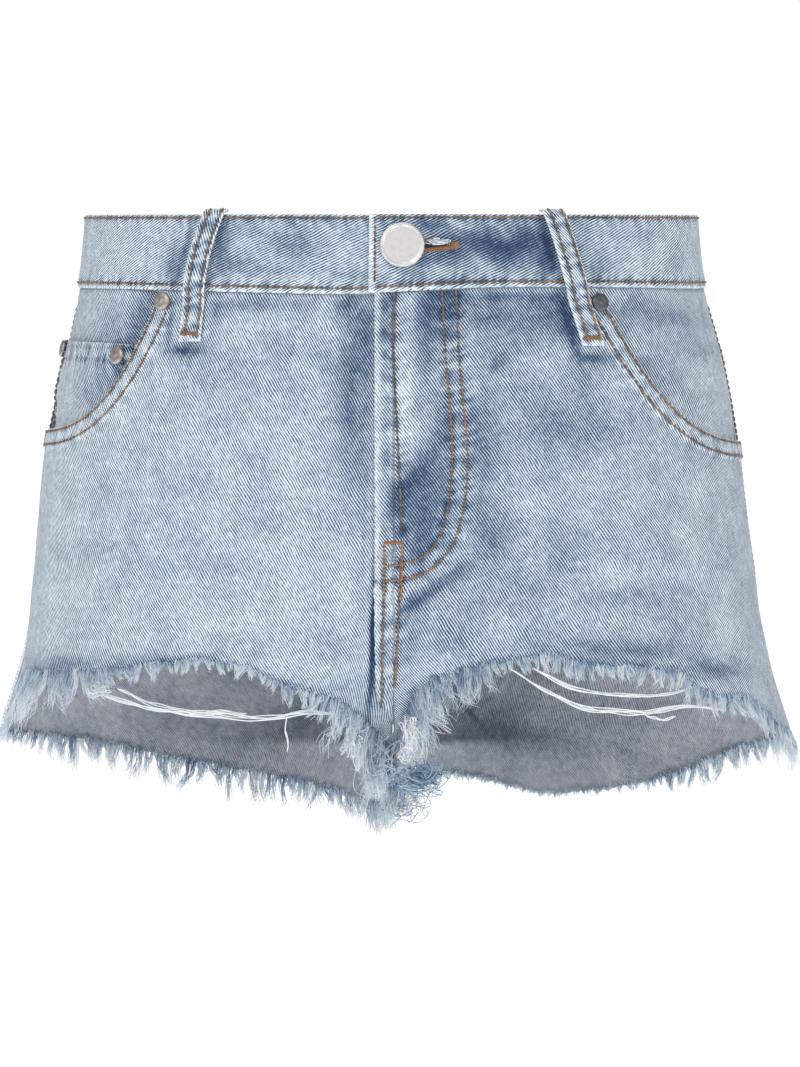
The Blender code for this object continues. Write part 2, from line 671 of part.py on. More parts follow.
def make_button(materials, collection):
    """A shank button: a flat cap over the tab, and a shank through the eye of its buttonhole."""
    cap_bottom, cap_height, shank = 0.0005, 0.0024, 0.0025
    reach = WAISTBAND_THICKNESS - 0.0006
    r = BUTTON_RADIUS
    profile = (
        (0, cap_bottom + cap_height), (0.80 * r, cap_bottom + cap_height),
        (0.94 * r, cap_bottom + 0.88 * cap_height), (r, cap_bottom + 0.55 * cap_height),
        (0.97 * r, cap_bottom + 0.15 * cap_height), (0.90 * r, cap_bottom),
        (shank, cap_bottom), (shank, -reach), (0, -reach),
    )
    button = turned("button", profile, 28, materials["button_metal"], collection)
    button.matrix_world = on_surface(BUTTON_Z, BUTTON_ANGLE, WAISTBAND_STEP + TAB_LIFT)
    return button


def make_rivets(materials, collection):
    """Domed rivets at the top corners of both front pockets and on the coin pocket's corners."""
    r, height = RIVET_RADIUS, 0.0016
    profile = (
        (0, height), (0.55 * r, height), (0.85 * r, 0.75 * height), (r, 0.35 * height),
        (0.95 * r, 0), (0, 0),
    )
    corners = {name: scoop.corner_angle for name, scoop in SCOOPS.items()}
    places = (
        ("rivet_pocket_right", -0.0392, -corners["right"] + 1.2),
        ("rivet_pocket_left", -0.0402, corners["left"] - 0.2),
        ("rivet_coin_inner", COIN_TOP_Z[0] - 0.0052, -COIN_ANGLES[0] - 3.6),
        ("rivet_coin_outer", COIN_TOP_Z[1] - 0.0044, -COIN_ANGLES[1] + 2.6),
    )
    for name, z, angle in places:
        on_coin_pocket = DENIM + 2 * GAP - float(facing_depth(z, angle))
        out = 3 * GAP + (on_coin_pocket + GAP if "coin" in name else 0.0)
        rivet = turned(name, profile, 14, materials["rivet_metal"], collection)
        rivet.matrix_world = on_surface(z, angle, out)


# ---------------------------------------------------------------- frayed hems
# Length of the fray along each hem, at the same kind of angles as HEMS.
FRAY_COLUMNS = ("angle", "length")
FRAYS = {
    "front_right": ((0, 0.011), (6, 0.014), (12, 0.017), (18, 0.012), (24, 0.007), (34, 0.005),
                    (45, 0.006), (56, 0.010), (68, 0.014), (78, 0.018), (90, 0.018)),
    "front_left": ((0, 0.010), (4, 0.016), (12, 0.016), (20, 0.012), (30, 0.010), (40, 0.007),
                   (50, 0.009), (62, 0.009), (74, 0.011), (90, 0.011)),
    "back_right": ((90, 0.005), (104, 0.007), (120, 0.011), (132, 0.013), (150, 0.013),
                   (166, 0.011), (180, 0.011)),
    "back_left": ((90, 0.007), (108, 0.009), (122, 0.013), (132, 0.009), (146, 0.004),
                  (168, 0.006), (180, 0.011)),
}
LOCK_SPACING = 0.0052
STRIP_HEIGHT = 0.0014


def hem_points(name, side):
    """(points on the outer face, outward directions, directions off the cloth, angles) along a
    hem, on the straight runs between the panel's own columns, so that the gap stays even. A front
    hem starts a little forward of the inseam, where it turns in between the legs."""
    grid, start = (front_grid, 3) if name.startswith("front") else (back_grid, 0)
    z, angle = (values[-1][start:] for values in grid(side))
    lift = slit_flare(side, z, angle) if name.startswith("back") else np.zeros_like(z)
    corners = body(z, angle, lift)
    runs = np.linalg.norm(np.diff(corners, axis=0), axis=1)
    parts = np.maximum(1, np.round(runs / LOCK_SPACING)).astype(int)
    at = np.concatenate([[0]] + [i + np.arange(1, n + 1) / n for i, n in enumerate(parts)])
    rows = np.concatenate([corners, outward(z, angle), np.abs(angle)[:, None]], axis=1)
    between = np.stack([np.interp(at, np.arange(len(z)), row) for row in rows.T], axis=1)
    points, normals, angles = between[:, :3], between[:, 3:6], between[:, 6]
    tangent = np.gradient(points, axis=0)
    off = np.cross(normals, tangent)
    off /= np.linalg.norm(off, axis=-1, keepdims=True)
    off *= np.where(off[:, 2:] > 0, -1.0, 1.0)
    return points, normals, off, angles


def make_frayed_hem(name, side, materials, collection):
    """A narrow strip just off the panel's cut edge, with one lock of threads grown from each of
    its lower faces: pulled out once, narrower, and then to a point."""
    points, normals, off, angles = hem_points(name, side)
    count = len(points) - 1
    clear = 2.5 * GAP
    inner = -normals * DENIM
    rings = [points + off * clear, points + off * clear + inner,
             points + off * (clear + STRIP_HEIGHT) + inner, points + off * (clear + STRIP_HEIGHT)]
    bm = bmesh.new()
    verts = [[bm.verts.new(p) for p in ring] for ring in rings]
    lower = []
    for i in range(count):
        for a in range(4):
            b = (a + 1) % 4
            face = bm.faces.new((verts[a][i], verts[b][i], verts[b][i + 1], verts[a][i + 1]))
            if a == 2:
                lower.append(face)
    for i in (0, count):
        bm.faces.new([ring[i] for ring in verts])
    lengths = read_table(FRAYS[name], FRAY_COLUMNS, "length", (angles[:-1] + angles[1:]) / 2)
    for i, face in enumerate(lower):
        ragged = 0.86 + 0.26 * math.sin(2.3 * i) * math.sin(0.9 * i + side)
        fall = Vector(off[i] * 0.45) + Vector((0, 0, -0.62)) + Vector(normals[i] * 0.10)
        sway = Vector((points[i + 1] - points[i])).normalized() * 0.30 * math.sin(1.7 * i)
        reach = (fall + sway).normalized() * float(lengths[i]) * ragged
        half = bmesh.ops.extrude_discrete_faces(bm, faces=[face])["faces"][0]
        middle = half.calc_center_median()
        for vert in half.verts:
            vert.co = middle + (vert.co - middle) * 0.66 + reach * 0.5
        tip = bmesh.ops.poke(bm, faces=[half])["verts"][0]
        tip.co = middle + reach + Vector((0, 0, -0.10 * float(lengths[i])))
    bmesh.ops.recalc_face_normals(bm, faces=bm.faces)
    mesh = bpy.data.meshes.new("frayed_hem_" + name)
    bm.to_mesh(mesh)
    bm.free()
    return add_object("frayed_hem_" + name, mesh, materials["frayed_cotton"], collection)


# ---------------------------------------------------------------- the shorts
def main():
    clear_scene()
    shorts = bpy.data.collections.new("denim_shorts")
    cutters = bpy.data.collections.new("cutters")
    for collection in (shorts, cutters):
        bpy.context.scene.collection.children.link(collection)
    cutters.hide_render = True
    materials = {name: new_material(name) for name in MATERIALS}
    make_waistband(materials, shorts, cutters)
    for side in (-1, 1):
        make_front(side, materials, shorts)
        make_pocket_facing(side, materials, shorts)
        make_yoke(side, materials, shorts)
        make_back(side, materials, shorts)
        make_back_pocket(side, materials, shorts)
    make_coin_pocket(materials, shorts)
    for loop in LOOPS:
        make_belt_loop(loop, materials, shorts)
    make_button(materials, shorts)
    make_rivets(materials, shorts)
    for name in HEMS:
        make_frayed_hem(name, 1 if name.endswith("left") else -1, materials, shorts)


main()
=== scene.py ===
"""Cut-off denim shorts, filled out as worn: each piece in the order it is cut and sewn."""
import math

import bpy
import numpy as np
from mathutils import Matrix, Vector


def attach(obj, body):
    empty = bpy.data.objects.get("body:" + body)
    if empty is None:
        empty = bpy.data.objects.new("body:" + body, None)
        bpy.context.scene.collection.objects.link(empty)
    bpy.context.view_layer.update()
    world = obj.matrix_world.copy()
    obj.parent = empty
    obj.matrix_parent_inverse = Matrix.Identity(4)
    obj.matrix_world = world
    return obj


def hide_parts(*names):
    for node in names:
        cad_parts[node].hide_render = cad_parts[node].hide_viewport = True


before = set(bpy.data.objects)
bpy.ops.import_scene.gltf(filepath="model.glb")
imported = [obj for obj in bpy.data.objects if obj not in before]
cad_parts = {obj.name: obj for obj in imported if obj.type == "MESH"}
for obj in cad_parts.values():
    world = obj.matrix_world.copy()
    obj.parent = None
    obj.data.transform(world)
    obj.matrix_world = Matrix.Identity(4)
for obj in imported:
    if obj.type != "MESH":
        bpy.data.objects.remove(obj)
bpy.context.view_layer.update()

# ------------------------------------------------------------------ front panels
# Two pieces of stonewashed denim, cut in a scoop at the pocket and left raw at the hem. The left
# one laps over the right at the fly. Both follow the hips and then each thigh, down to the inseam.
GAP = 0.0003
DENIM = 0.0012
WAISTBAND_HEIGHT = 0.0350
WAIST_TILT = 0.060
CROTCH_Z, CROTCH_Y, SIDE_SEAM_Y, FIGURE_MIDDLE_Y = -0.250, 0.010, 0.004, 0.012
FRONT_CLEFT_Z, SEAT_CLEFT_Z = -0.170, -0.150
INNER_THIGH_RADIUS, CROTCH_EASE = 0.0035, 0.0008
CREST_SHARE, CREST_ANGLE, SQUARENESS = 0.48, 40.0, 2.25
SLIT_TOP_Z, SLIT_ANGLE = -0.174, 4.5
CENTRE_LAP, FLY_UNDERLAP = 0.0088, 0.0095
FLY_END_Z, LAP_END_Z = -0.163, -0.238
CROTCH_BLEND, QUARTER_HANDLE = 0.08, 0.5523
LAP_LIFT, UNDERLAP_SINK, FOLD_LIFT = 0.0012, 0.0012, 0.0006
SEAM_ANGLE = 0.005
FIGURE_COLUMNS = ("z", "right", "left", "front", "back")
FIGURE = (
    (-0.320, 0.1990, 0.2010, 0.0880, 0.1060),
    (-0.280, 0.1940, 0.1960, 0.0900, 0.1100),
    (-0.243, 0.1865, 0.1900, 0.0925, 0.1170),
    (-0.212, 0.1785, 0.1810, 0.0950, 0.1230),
    (-0.170, 0.1730, 0.1735, 0.0990, 0.1280),
    (-0.131, 0.1700, 0.1685, 0.1020, 0.1290),
    (-0.102, 0.1665, 0.1650, 0.1030, 0.1260),
    (-0.064, 0.1580, 0.1580, 0.1020, 0.1160),
    (-0.030, 0.1510, 0.1490, 0.0995, 0.1040),
    (0.020, 0.1460, 0.1435, 0.0970, 0.0970),
)
BAND_COLUMNS = ("angle", "more")
BAND = (
    (-180, 0.0), (-90, 0.0), (-50, 0.0), (-25, 0.0012), (-6, 0.0018), (2, 0.0008), (14, -0.0010),
    (35, -0.0012), (70, 0.0), (90, 0.0), (180, 0.0),
)
# A pocket's scoop: the angle of its corner, its height at the side seam, and how square it is.
SCOOPS = {-1: (43.5, -0.0970, 6.3), 1: (37.3, -0.1025, 5.4)}
HEM_COLUMNS = ("angle", "z")
HEMS = {
    "front_right": (
        (0, -0.2760), (3, -0.2540), (6.6, -0.2370), (9.3, -0.2300), (16, -0.2232), (22.5, -0.2180),
        (27, -0.2108), (34, -0.2056), (41, -0.2074), (55, -0.2112), (66, -0.2119), (80, -0.2140),
        (90, -0.2215),
    ),
    "front_left": (
        (0, -0.2620), (1.5, -0.2400), (3, -0.2245), (6, -0.2170), (13.5, -0.2119), (23.4, -0.2053),
        (28.8, -0.2034), (35, -0.2078), (46, -0.2098), (50.7, -0.2126), (56, -0.2215),
        (67, -0.2252), (75, -0.2370), (90, -0.2430),
    ),
    "back_right": (
        (90, -0.2431), (108, -0.2453), (119, -0.2492), (127, -0.2546), (135, -0.2598),
        (146, -0.2664), (154.5, -0.2708), (162, -0.2744), (172.5, -0.2787), (180, -0.2765),
    ),
    "back_left": (
        (90, -0.2440), (99.6, -0.2468), (114, -0.2537), (122, -0.2633), (130, -0.2715),
        (138.6, -0.2758), (146, -0.2770), (151.5, -0.2722), (161, -0.2662), (170, -0.2670),
        (180, -0.2625),
    ),
}
# Soft folds in front and behind: x, z, lean in degrees, half length, half width and height. The
# creases of wear between them are shorter and sharper.
FOLDS = {
    "front": (
        (-0.045, -0.168, -28, 0.045, 0.010, -0.0016), (-0.060, -0.190, -18, 0.050, 0.011, 0.0020),
        (-0.120, -0.196, 6, 0.038, 0.009, -0.0016), (-0.135, -0.165, 12, 0.030, 0.008, 0.0013),
        (-0.140, -0.130, 14, 0.028, 0.008, -0.0012), (0.030, -0.172, 32, 0.030, 0.008, -0.0022),
        (0.048, -0.186, 24, 0.045, 0.011, 0.0021), (0.095, -0.192, 10, 0.045, 0.010, -0.0014),
        (0.128, -0.150, -12, 0.036, 0.009, 0.0013), (0.140, -0.176, -16, 0.034, 0.009, -0.0014),
        (0.060, -0.060, 12, 0.040, 0.014, 0.0010),
    ),
    "back": (
        (-0.060, -0.215, 24, 0.050, 0.012, -0.0022), (0.058, -0.222, -26, 0.048, 0.012, -0.0022),
        (-0.100, -0.235, 12, 0.045, 0.012, 0.0018), (0.105, -0.232, -14, 0.045, 0.012, 0.0018),
    ),
}
CREASES = {
    "front": (
        (-0.118, -0.118, 8, 0.026, 0.0040, -0.0006), (-0.126, -0.142, 4, 0.032, 0.0045, -0.0007),
        (-0.110, -0.150, -3, 0.036, 0.0050, 0.0005), (-0.136, -0.153, 9, 0.024, 0.0038, -0.0006),
        (-0.090, -0.176, -4, 0.040, 0.0045, -0.0005), (-0.070, -0.196, -14, 0.034, 0.0045, -0.0006),
        (-0.030, -0.205, -30, 0.024, 0.0045, 0.0006), (-0.024, -0.226, -38, 0.020, 0.0045, -0.0008),
        (-0.052, -0.130, -10, 0.030, 0.0060, -0.0004), (0.052, -0.166, 30, 0.024, 0.0040, -0.0007),
        (0.064, -0.180, 22, 0.030, 0.0045, 0.0006), (0.075, -0.200, 8, 0.030, 0.0040, -0.0006),
        (0.030, -0.205, 26, 0.022, 0.0050, -0.0007), (0.104, -0.168, -6, 0.030, 0.0045, -0.0005),
        (0.134, -0.134, -14, 0.028, 0.0040, -0.0007), (0.142, -0.160, -10, 0.024, 0.0040, 0.0006),
        (0.136, -0.200, -18, 0.028, 0.0045, -0.0007), (0.046, -0.100, 62, 0.030, 0.0060, -0.0005),
        (0.080, -0.070, 8, 0.034, 0.0060, -0.0004),
    ),
    "back": (
        (-0.120, -0.150, -10, 0.034, 0.0050, -0.0007), (0.124, -0.158, 12, 0.034, 0.0050, -0.0007),
        (-0.040, -0.236, 34, 0.026, 0.0045, 0.0007), (0.042, -0.238, -30, 0.026, 0.0045, 0.0007),
        (-0.130, -0.215, 16, 0.030, 0.0050, -0.0006), (0.130, -0.210, -14, 0.030, 0.0050, -0.0006),
    ),
}


def smooth(at, stations, values):
    """Cubic pieces through the values, each station's slope being that between its neighbours."""
    stations = np.asarray(stations, float)
    values = np.asarray(values, float)
    slopes = np.gradient(values, stations)
    at = np.clip(np.asarray(at, float), stations[0], stations[-1])
    i = np.clip(np.searchsorted(stations, at, side="right") - 1, 0, len(stations) - 2)
    step = stations[i + 1] - stations[i]
    f = (at - stations[i]) / step
    start = values[i] * (1 + 2 * f) * (1 - f) ** 2 + slopes[i] * step * f * (1 - f) ** 2
    end = values[i + 1] * f**2 * (3 - 2 * f) + slopes[i + 1] * step * f**2 * (f - 1)
    return start + end


def read_table(table, columns, name, at):
    """One column of a table, smoothly between its rows; the first column says where a row is."""
    values = np.array(table)
    return smooth(at, values[:, 0], values[:, columns.index(name)])


def ease(low, high, at):
    """0 up to low, 1 from high on, and 3f squared less 2f cubed between."""
    f = np.clip((np.asarray(at, float) - low) / (high - low), 0, 1)
    return f * f * (3 - 2 * f)


def bell(distance, width):
    """1 on a line and falling away from it, as e to the minus square of distance over width."""
    return np.exp(-((distance / width) ** 2))


def unit(vectors):
    return vectors / np.maximum(np.linalg.norm(vectors, axis=-1, keepdims=True), 1e-12)


def lengths_along(points):
    """The length of a line from its start to each of its points."""
    return np.concatenate([[0], np.cumsum(np.linalg.norm(np.diff(points, axis=0), axis=1))])


def sided(piece, side):
    """The name of a piece on one side of the wearer: 1 is the left, and -1 the right."""
    return piece + ("_left" if side > 0 else "_right")


def side_of(angle):
    return -1 if np.max(angle) < 0 else 1


def section(column, z):
    return read_table(FIGURE, FIGURE_COLUMNS, column, z)


def plain_body(z, angle):
    """The figure at a height and an angle: half an oval above the crotch, and below it a ring
    round each leg, with the centre line swinging in under it along a quarter of an ellipse. From
    the centre to the thigh's crest it is a cubic Bezier curve, and from there on a squarish oval."""
    z, angle = np.broadcast_arrays(np.asarray(z, float), np.asarray(angle, float))
    side = np.where(angle < 0, -1.0, 1.0)
    around = np.abs(angle)
    in_front = around <= 90
    a = np.where(in_front, around, 180 - around)
    face = np.where(in_front, -1.0, 1.0)
    width = np.where(side < 0, section("right", z), section("left", z))
    depth = np.where(in_front, section("front", z), section("back", z))
    crotch = face * CROTCH_Y + GAP / 2
    seam = face * SIDE_SEAM_Y + GAP / 2
    cleft_z = np.where(in_front, FRONT_CLEFT_Z, SEAT_CLEFT_Z)
    under = (cleft_z - z) / (cleft_z - CROTCH_Z)
    share = np.clip(under, 0, 1)
    centre = depth - (depth - crotch) * (1 - np.sqrt(1 - share**2))
    rounded = np.clip(under - 1 + CROTCH_BLEND, 0, 2 * CROTCH_BLEND) ** 2 / (4 * CROTCH_BLEND)
    share = share - rounded + np.clip(under - 1, 0, CROTCH_BLEND)
    below = np.clip(CROTCH_Z - z, 0, INNER_THIGH_RADIUS)
    inner_x = np.sqrt(2 * INNER_THIGH_RADIUS * below - below**2)
    crest_x = CREST_SHARE * width * share
    crest_angle = CREST_ANGLE * share
    f = np.clip(a / np.maximum(crest_angle, 1e-6), 0, 1)
    turn = math.pi / 2 * share**4
    reach = (1 - share**4) * 0.5 * crest_x + share**4 * QUARTER_HANDLE * (depth - centre)
    near_crest = crest_x - QUARTER_HANDLE * (crest_x - inner_x)
    knots_x = (inner_x, inner_x + reach * np.cos(turn), near_crest, crest_x)
    knots_d = (centre, centre + reach * np.sin(turn), depth, depth)
    weights = ((1 - f) ** 3, 3 * f * (1 - f) ** 2, 3 * f**2 * (1 - f), f**3)
    thigh_x = sum(w * k for w, k in zip(weights, knots_x))
    thigh_d = sum(w * k for w, k in zip(weights, knots_d))
    q = np.radians(90 * np.clip((a - crest_angle) / (90 - crest_angle), 0, 1))
    s, c = np.sin(q), np.cos(q)
    k = (s**SQUARENESS + c**SQUARENESS) ** (1 / SQUARENESS)
    hip_x = crest_x + (width - crest_x) * s / k
    hip_d = seam + (depth - seam) * c / k
    on_hip = a >= crest_angle
    x = side * (np.where(on_hip, hip_x, thigh_x) + GAP / 2 + CROTCH_EASE * share**4)
    y = face * np.where(on_hip, hip_d, thigh_d)
    return np.stack([x, y, z], axis=-1)


def outward(z, angle):
    """The direction off the figure: the cross product of two short steps along it."""
    step_z, step_angle = 1e-4, 0.05
    side = np.where(np.asarray(angle) < 0, -1.0, 1.0)
    towards = np.where(np.abs(angle) < 90, 1.0, -1.0)
    along = plain_body(z, angle + side * towards * step_angle) - plain_body(z, angle)
    up = plain_body(z + step_z, angle) - plain_body(z - step_z, angle)
    return unit(np.cross(along, up) * (side * towards)[..., None])


def bells(points, rows, face):
    """The sum of the rows' bells: each e to the minus square of the share of its half length
    along it and of its half width across it, times its height."""
    total = np.zeros(points.shape[:-1])
    for x, z, lean, length, width, height in rows:
        turn = math.radians(lean)
        dx, dz = points[..., 0] - x, points[..., 2] - z
        along = dx * math.cos(turn) + dz * math.sin(turn)
        aside = dz * math.cos(turn) - dx * math.sin(turn)
        total += height * np.exp(-((along / length) ** 2) - (aside / width) ** 2) * face
    return total


def body(z, angle, out=0.0, creased=True):
    """The denim's outer face: the figure, its folds, its small creases and a distance off it."""
    z, angle = np.broadcast_arrays(np.asarray(z, float), np.asarray(angle, float))
    points = plain_body(z, angle)
    lift = np.zeros(z.shape) + out
    for name, face in (("front", np.abs(angle) < 90), ("back", np.abs(angle) >= 90)):
        lift += bells(points, FOLDS[name], face)
        if creased:
            lift += bells(points, CREASES[name], face)
    return points + outward(z, angle) * lift[..., None]


def angle_at(x, z, face_angles):
    """The angle, among these, at which the figure is this far from its middle at each height."""
    x, z = np.broadcast_arrays(np.asarray(x, float), np.asarray(z, float))
    found = [
        np.interp(wanted, np.abs(plain_body(height, face_angles)[:, 0]), face_angles)
        for wanted, height in zip(x.ravel(), z.ravel())
    ]
    return np.reshape(found, x.shape)


def top_z(angle):
    """The waistband's top edge: a plane that rises a little towards the back."""
    return WAIST_TILT * (plain_body(0.0, angle)[..., 1] + section("front", 0.0))


def waist_seam_z(angle):
    return top_z(angle) - WAISTBAND_HEIGHT - read_table(BAND, BAND_COLUMNS, "more", angle)


def pocket_edge_z(angle):
    """The scoop of a front pocket: 1 less a power of the share still to go to the side seam."""
    corner, side_z, curve = SCOOPS[side_of(angle)]
    f = np.clip((np.abs(angle) - corner) / (90 - corner), 0, 1)
    seam = waist_seam_z(angle) - GAP
    return seam + (side_z - seam) * (1 - (1 - f) ** curve)


def hem_z(name, angle):
    """The torn edge: the table's line, and three sines of the angle for its small steps."""
    line = read_table(HEMS[name], HEM_COLUMNS, "z", angle)
    steps = np.sin(angle * 0.9 + 1) + 0.8 * np.sin(angle * 1.7) + 0.6 * np.sin(angle * 2.9 + 2)
    return line + 0.00032 * steps * ease(1, 8, np.abs(angle)) * ease(179, 172, np.abs(angle))


def slit(z, hem_height):
    """How far one side of the side slit has opened at a height, in degrees."""
    return SLIT_ANGLE * np.clip((SLIT_TOP_Z - z) / (SLIT_TOP_Z - hem_height), 0, 1) ** 0.8


def lap(side, z):
    """How far past the centre a front reaches, as an angle: the left one down to the crotch,
    and the right one, under it, down to the end of the fly."""
    reach, end_z, span = (CENTRE_LAP, LAP_END_Z, 0.020) if side > 0 else (
        FLY_UNDERLAP, FLY_END_Z, 0.022)
    other = -side * np.linspace(SEAM_ANGLE, 30, 121)
    return angle_at(reach, z, other) * ease(end_z, end_z + span, z)


def lap_offset(side, z, angle):
    """The left front lies a little proud along the lap, and the right one sinks under it."""
    x = plain_body(z, angle)[..., 0]
    held = ease(LAP_END_Z - 0.022, LAP_END_Z - 0.002, z)
    if side > 0:
        return LAP_LIFT * held * ease(0.022, 0.012, x)
    return -UNDERLAP_SINK * held * ease(-0.022, -0.010, x)


def spread(angles, lines, shares, columns):
    """Column angles spaced by a mix of the lengths of lines across a panel and of the angle."""
    mixed = shares[-1] * np.linspace(0, 1, len(angles))
    for line, share in zip(lines, shares):
        steps = np.linalg.norm(np.diff(line, axis=0), axis=1)
        mixed = mixed + share * np.concatenate([[0], np.cumsum(steps)]) / steps.sum()
    return np.interp(np.linspace(0, 1, columns + 1), mixed, angles)


def down_rows(top, inseam_z, rows):
    """Shares of the way down, even along the centre seam, which bends in under the figure."""
    z = np.linspace(top, inseam_z, 800)
    length = lengths_along(plain_body(z, 0.0))
    even = np.interp(np.linspace(0, length[-1], rows + 1), length, z)
    return 0.6 * (top - even) / (top - inseam_z) + 0.4 * np.linspace(0, 1, rows + 1)


def front_grid(side, rows=150, columns=132):
    """Heights and angles of a front: from the waist seam and the scoop down to the raw hem, with
    columns close together where the scoop is steep and where the hem runs back to the crotch."""
    name = sided("front", side)
    angles = np.linspace(SEAM_ANGLE, 90, 1441)
    edge = np.minimum(pocket_edge_z(side * angles), waist_seam_z(side * angles) - GAP)
    lines = [plain_body(z, side * angles) for z in (edge, hem_z(name, angles))]
    nominal = spread(angles, lines, (0.45, 0.45, 0.10), columns)[None, :]
    t = down_rows(-WAISTBAND_HEIGHT, HEMS[name][0][1], rows)[:, None]
    top = np.minimum(pocket_edge_z(side * nominal), waist_seam_z(side * nominal) - 2 * GAP)
    z = top + (hem_z(name, nominal) - top) * t
    edge = lap(side, z[:, 0])[:, None]
    opened = (SEAM_ANGLE + slit(z, HEMS[name][-1][1])) * ease(70, 90, nominal)
    return z, side * (nominal - opened) + edge * np.clip(1 - nominal / 12, 0, 1) ** 2


def grid_normals(points):
    """Unit cross products of a grid's two directions."""
    return unit(np.cross(np.gradient(points, axis=1), np.gradient(points, axis=0)))


def fabric_lie(z, angle, grain=0.0):
    """Each place in the flat cloth, in metres: along the level ring from the crest of the thigh,
    read from a table of the rings' lengths, on from how far out that crest is, and down by height,
    turned by the cut's grain."""
    heights = np.linspace(-0.30, 0.02, 81)
    ring = np.linspace(-180, 180, 721)
    ring[360] = 1e-6
    walk = plain_body(heights[:, None], ring[None, :])
    steps = np.linalg.norm(np.diff(walk, axis=1), axis=-1)
    length = np.concatenate([np.zeros((81, 1)), np.cumsum(steps, axis=1)], axis=1)
    crest = np.where(np.abs(angle) <= 90, 45.0, 135.0) * np.where(angle < 0, -1, 1)
    row = np.clip((z + 0.30) / 0.004, 0, 79.999)

    def read(at):
        column = np.clip((at + 180) * 2, 0, 719.999)
        i, j = row.astype(int), column.astype(int)
        f, g = row - i, column - j
        near = length[i, j] * (1 - g) + length[i, j + 1] * g
        far = length[i + 1, j] * (1 - g) + length[i + 1, j + 1] * g
        return near * (1 - f) + far * f

    turn = math.radians(grain)
    u = read(angle) - read(crest) + plain_body(z, crest)[..., 0]
    return np.stack([u * math.cos(turn) - z * math.sin(turn),
                     u * math.sin(turn) + z * math.cos(turn)], axis=-1)


def new_object(name, verts, faces, uv, tones, materials, face_materials=None):
    """A mesh object whose UV map, fabric, holds each point's place in the cloth in metres, and
    whose point attributes hold its tones."""
    mesh = bpy.data.meshes.new(name)
    mesh.from_pydata(verts.tolist(), [], faces)
    layer = mesh.uv_layers.new(name="fabric")
    corner = np.zeros(len(mesh.loops), np.int32)
    mesh.loops.foreach_get("vertex_index", corner)
    layer.data.foreach_set("uv", uv[corner].astype(np.float32).ravel())
    for tone, values in tones.items():
        attribute = mesh.attributes.new(tone, "FLOAT", "POINT")
        attribute.data.foreach_set("value", values.astype(np.float32).ravel())
    for material in materials:
        mesh.materials.append(material)
    if face_materials is not None:
        mesh.polygons.foreach_set("material_index", face_materials.astype(np.int32))
    mesh.polygons.foreach_set("use_smooth", np.ones(len(mesh.polygons), bool))
    mesh.update()
    obj = bpy.data.objects.new(name, mesh)
    bpy.context.scene.collection.objects.link(obj)
    return obj


def cloth_wall(name, outer, thickness, uv, tones, materials):
    """A wall of cloth: the outer grid, the same grid moved in along its normals, and a rim. The
    first material is for the face, the second for the reverse, the third for the cut edge."""
    rows, columns = outer.shape[:2]
    from_middle = outer[..., :2] - [0.0, FIGURE_MIDDLE_Y]
    if np.sum(grid_normals(outer)[..., :2] * from_middle) < 0:
        outer, uv = outer[:, ::-1], uv[:, ::-1]
        tones = {tone: values[:, ::-1] for tone, values in tones.items()}
    inner = outer - grid_normals(outer) * thickness
    verts = np.concatenate([outer.reshape(-1, 3), inner.reshape(-1, 3)])
    index = np.arange(rows * columns).reshape(rows, columns)
    a, b, c, d = index[:-1, :-1], index[1:, :-1], index[1:, 1:], index[:-1, 1:]
    face = np.stack([a, d, c, b], axis=-1).reshape(-1, 4)
    reverse = face[:, ::-1] + rows * columns
    loop = np.concatenate([index[0, :-1], index[:-1, -1], index[-1, :0:-1], index[:0:-1, 0]])
    after = np.roll(loop, -1)
    rim = np.stack([loop, loop + rows * columns, after + rows * columns, after], axis=-1)
    faces = np.concatenate([face, reverse, rim])
    kinds = np.repeat([0, 1, 2], [len(face), len(reverse), len(rim)])
    both = {tone: np.concatenate([v.ravel(), v.ravel()]) for tone, v in tones.items()}
    uv = np.concatenate([uv.reshape(-1, 2)] * 2)
    return new_object(name, verts, faces.tolist(), uv, both, materials, kinds)


def distance_along(points, path):
    """For each point the distance to the nearest sample of a path and the length up to it."""
    flat = points.reshape(-1, 3).astype(np.float32)
    lengths = lengths_along(path)
    square = (flat**2).sum(1)[:, None] + (path**2).sum(1)[None, :] - 2 * flat @ path.T
    nearest = square.argmin(1)
    found = np.linalg.norm(flat - path[nearest], axis=1)
    return found.reshape(points.shape[:-1]), lengths[nearest].reshape(points.shape[:-1])


def evenly(z, angle, spacing):
    """The same line with its points a set distance apart."""
    points = plain_body(z, angle)
    length = lengths_along(points)
    at = np.linspace(0, length[-1], max(2, int(round(length[-1] / spacing)) + 1))
    return np.interp(at, length, z), np.interp(at, length, angle)


def beside(z, angle, distance):
    """A line moved sideways over the cloth: its tangent crossed with the outward direction, put
    back into steps of height and angle by least squares. Above 0 is downwards or to the right."""
    z, angle = evenly(z, angle, 0.001)
    points, normals = plain_body(z, angle), outward(z, angle)
    aside = np.cross(unit(np.gradient(points, axis=0)), normals) * np.asarray(distance)
    step_z = (plain_body(z + 1e-4, angle) - points) / 1e-4
    step_angle = (plain_body(z, angle + 0.02) - points) / 0.02
    zz, aa = (step_z**2).sum(1), (step_angle**2).sum(1)
    za = (step_z * step_angle).sum(1)
    to_z, to_a = (aside * step_z).sum(1), (aside * step_angle).sum(1)
    spread_of = zz * aa - za**2
    return z + (to_z * aa - to_a * za) / spread_of, angle + (to_a * zz - to_z * za) / spread_of


def front_line(table):
    """A smooth line on the front through (x, z) places, as heights and angles."""
    places = np.array(table)
    stations = lengths_along(places)
    at = np.linspace(0, stations[-1], 160)
    x, z = smooth(at, stations, places[:, 0]), smooth(at, stations, places[:, 1])
    angles = np.linspace(SEAM_ANGLE, 90, 1441)
    return z, np.where(x < 0, angle_at(-x, z, -angles), angle_at(np.abs(x), z, angles))


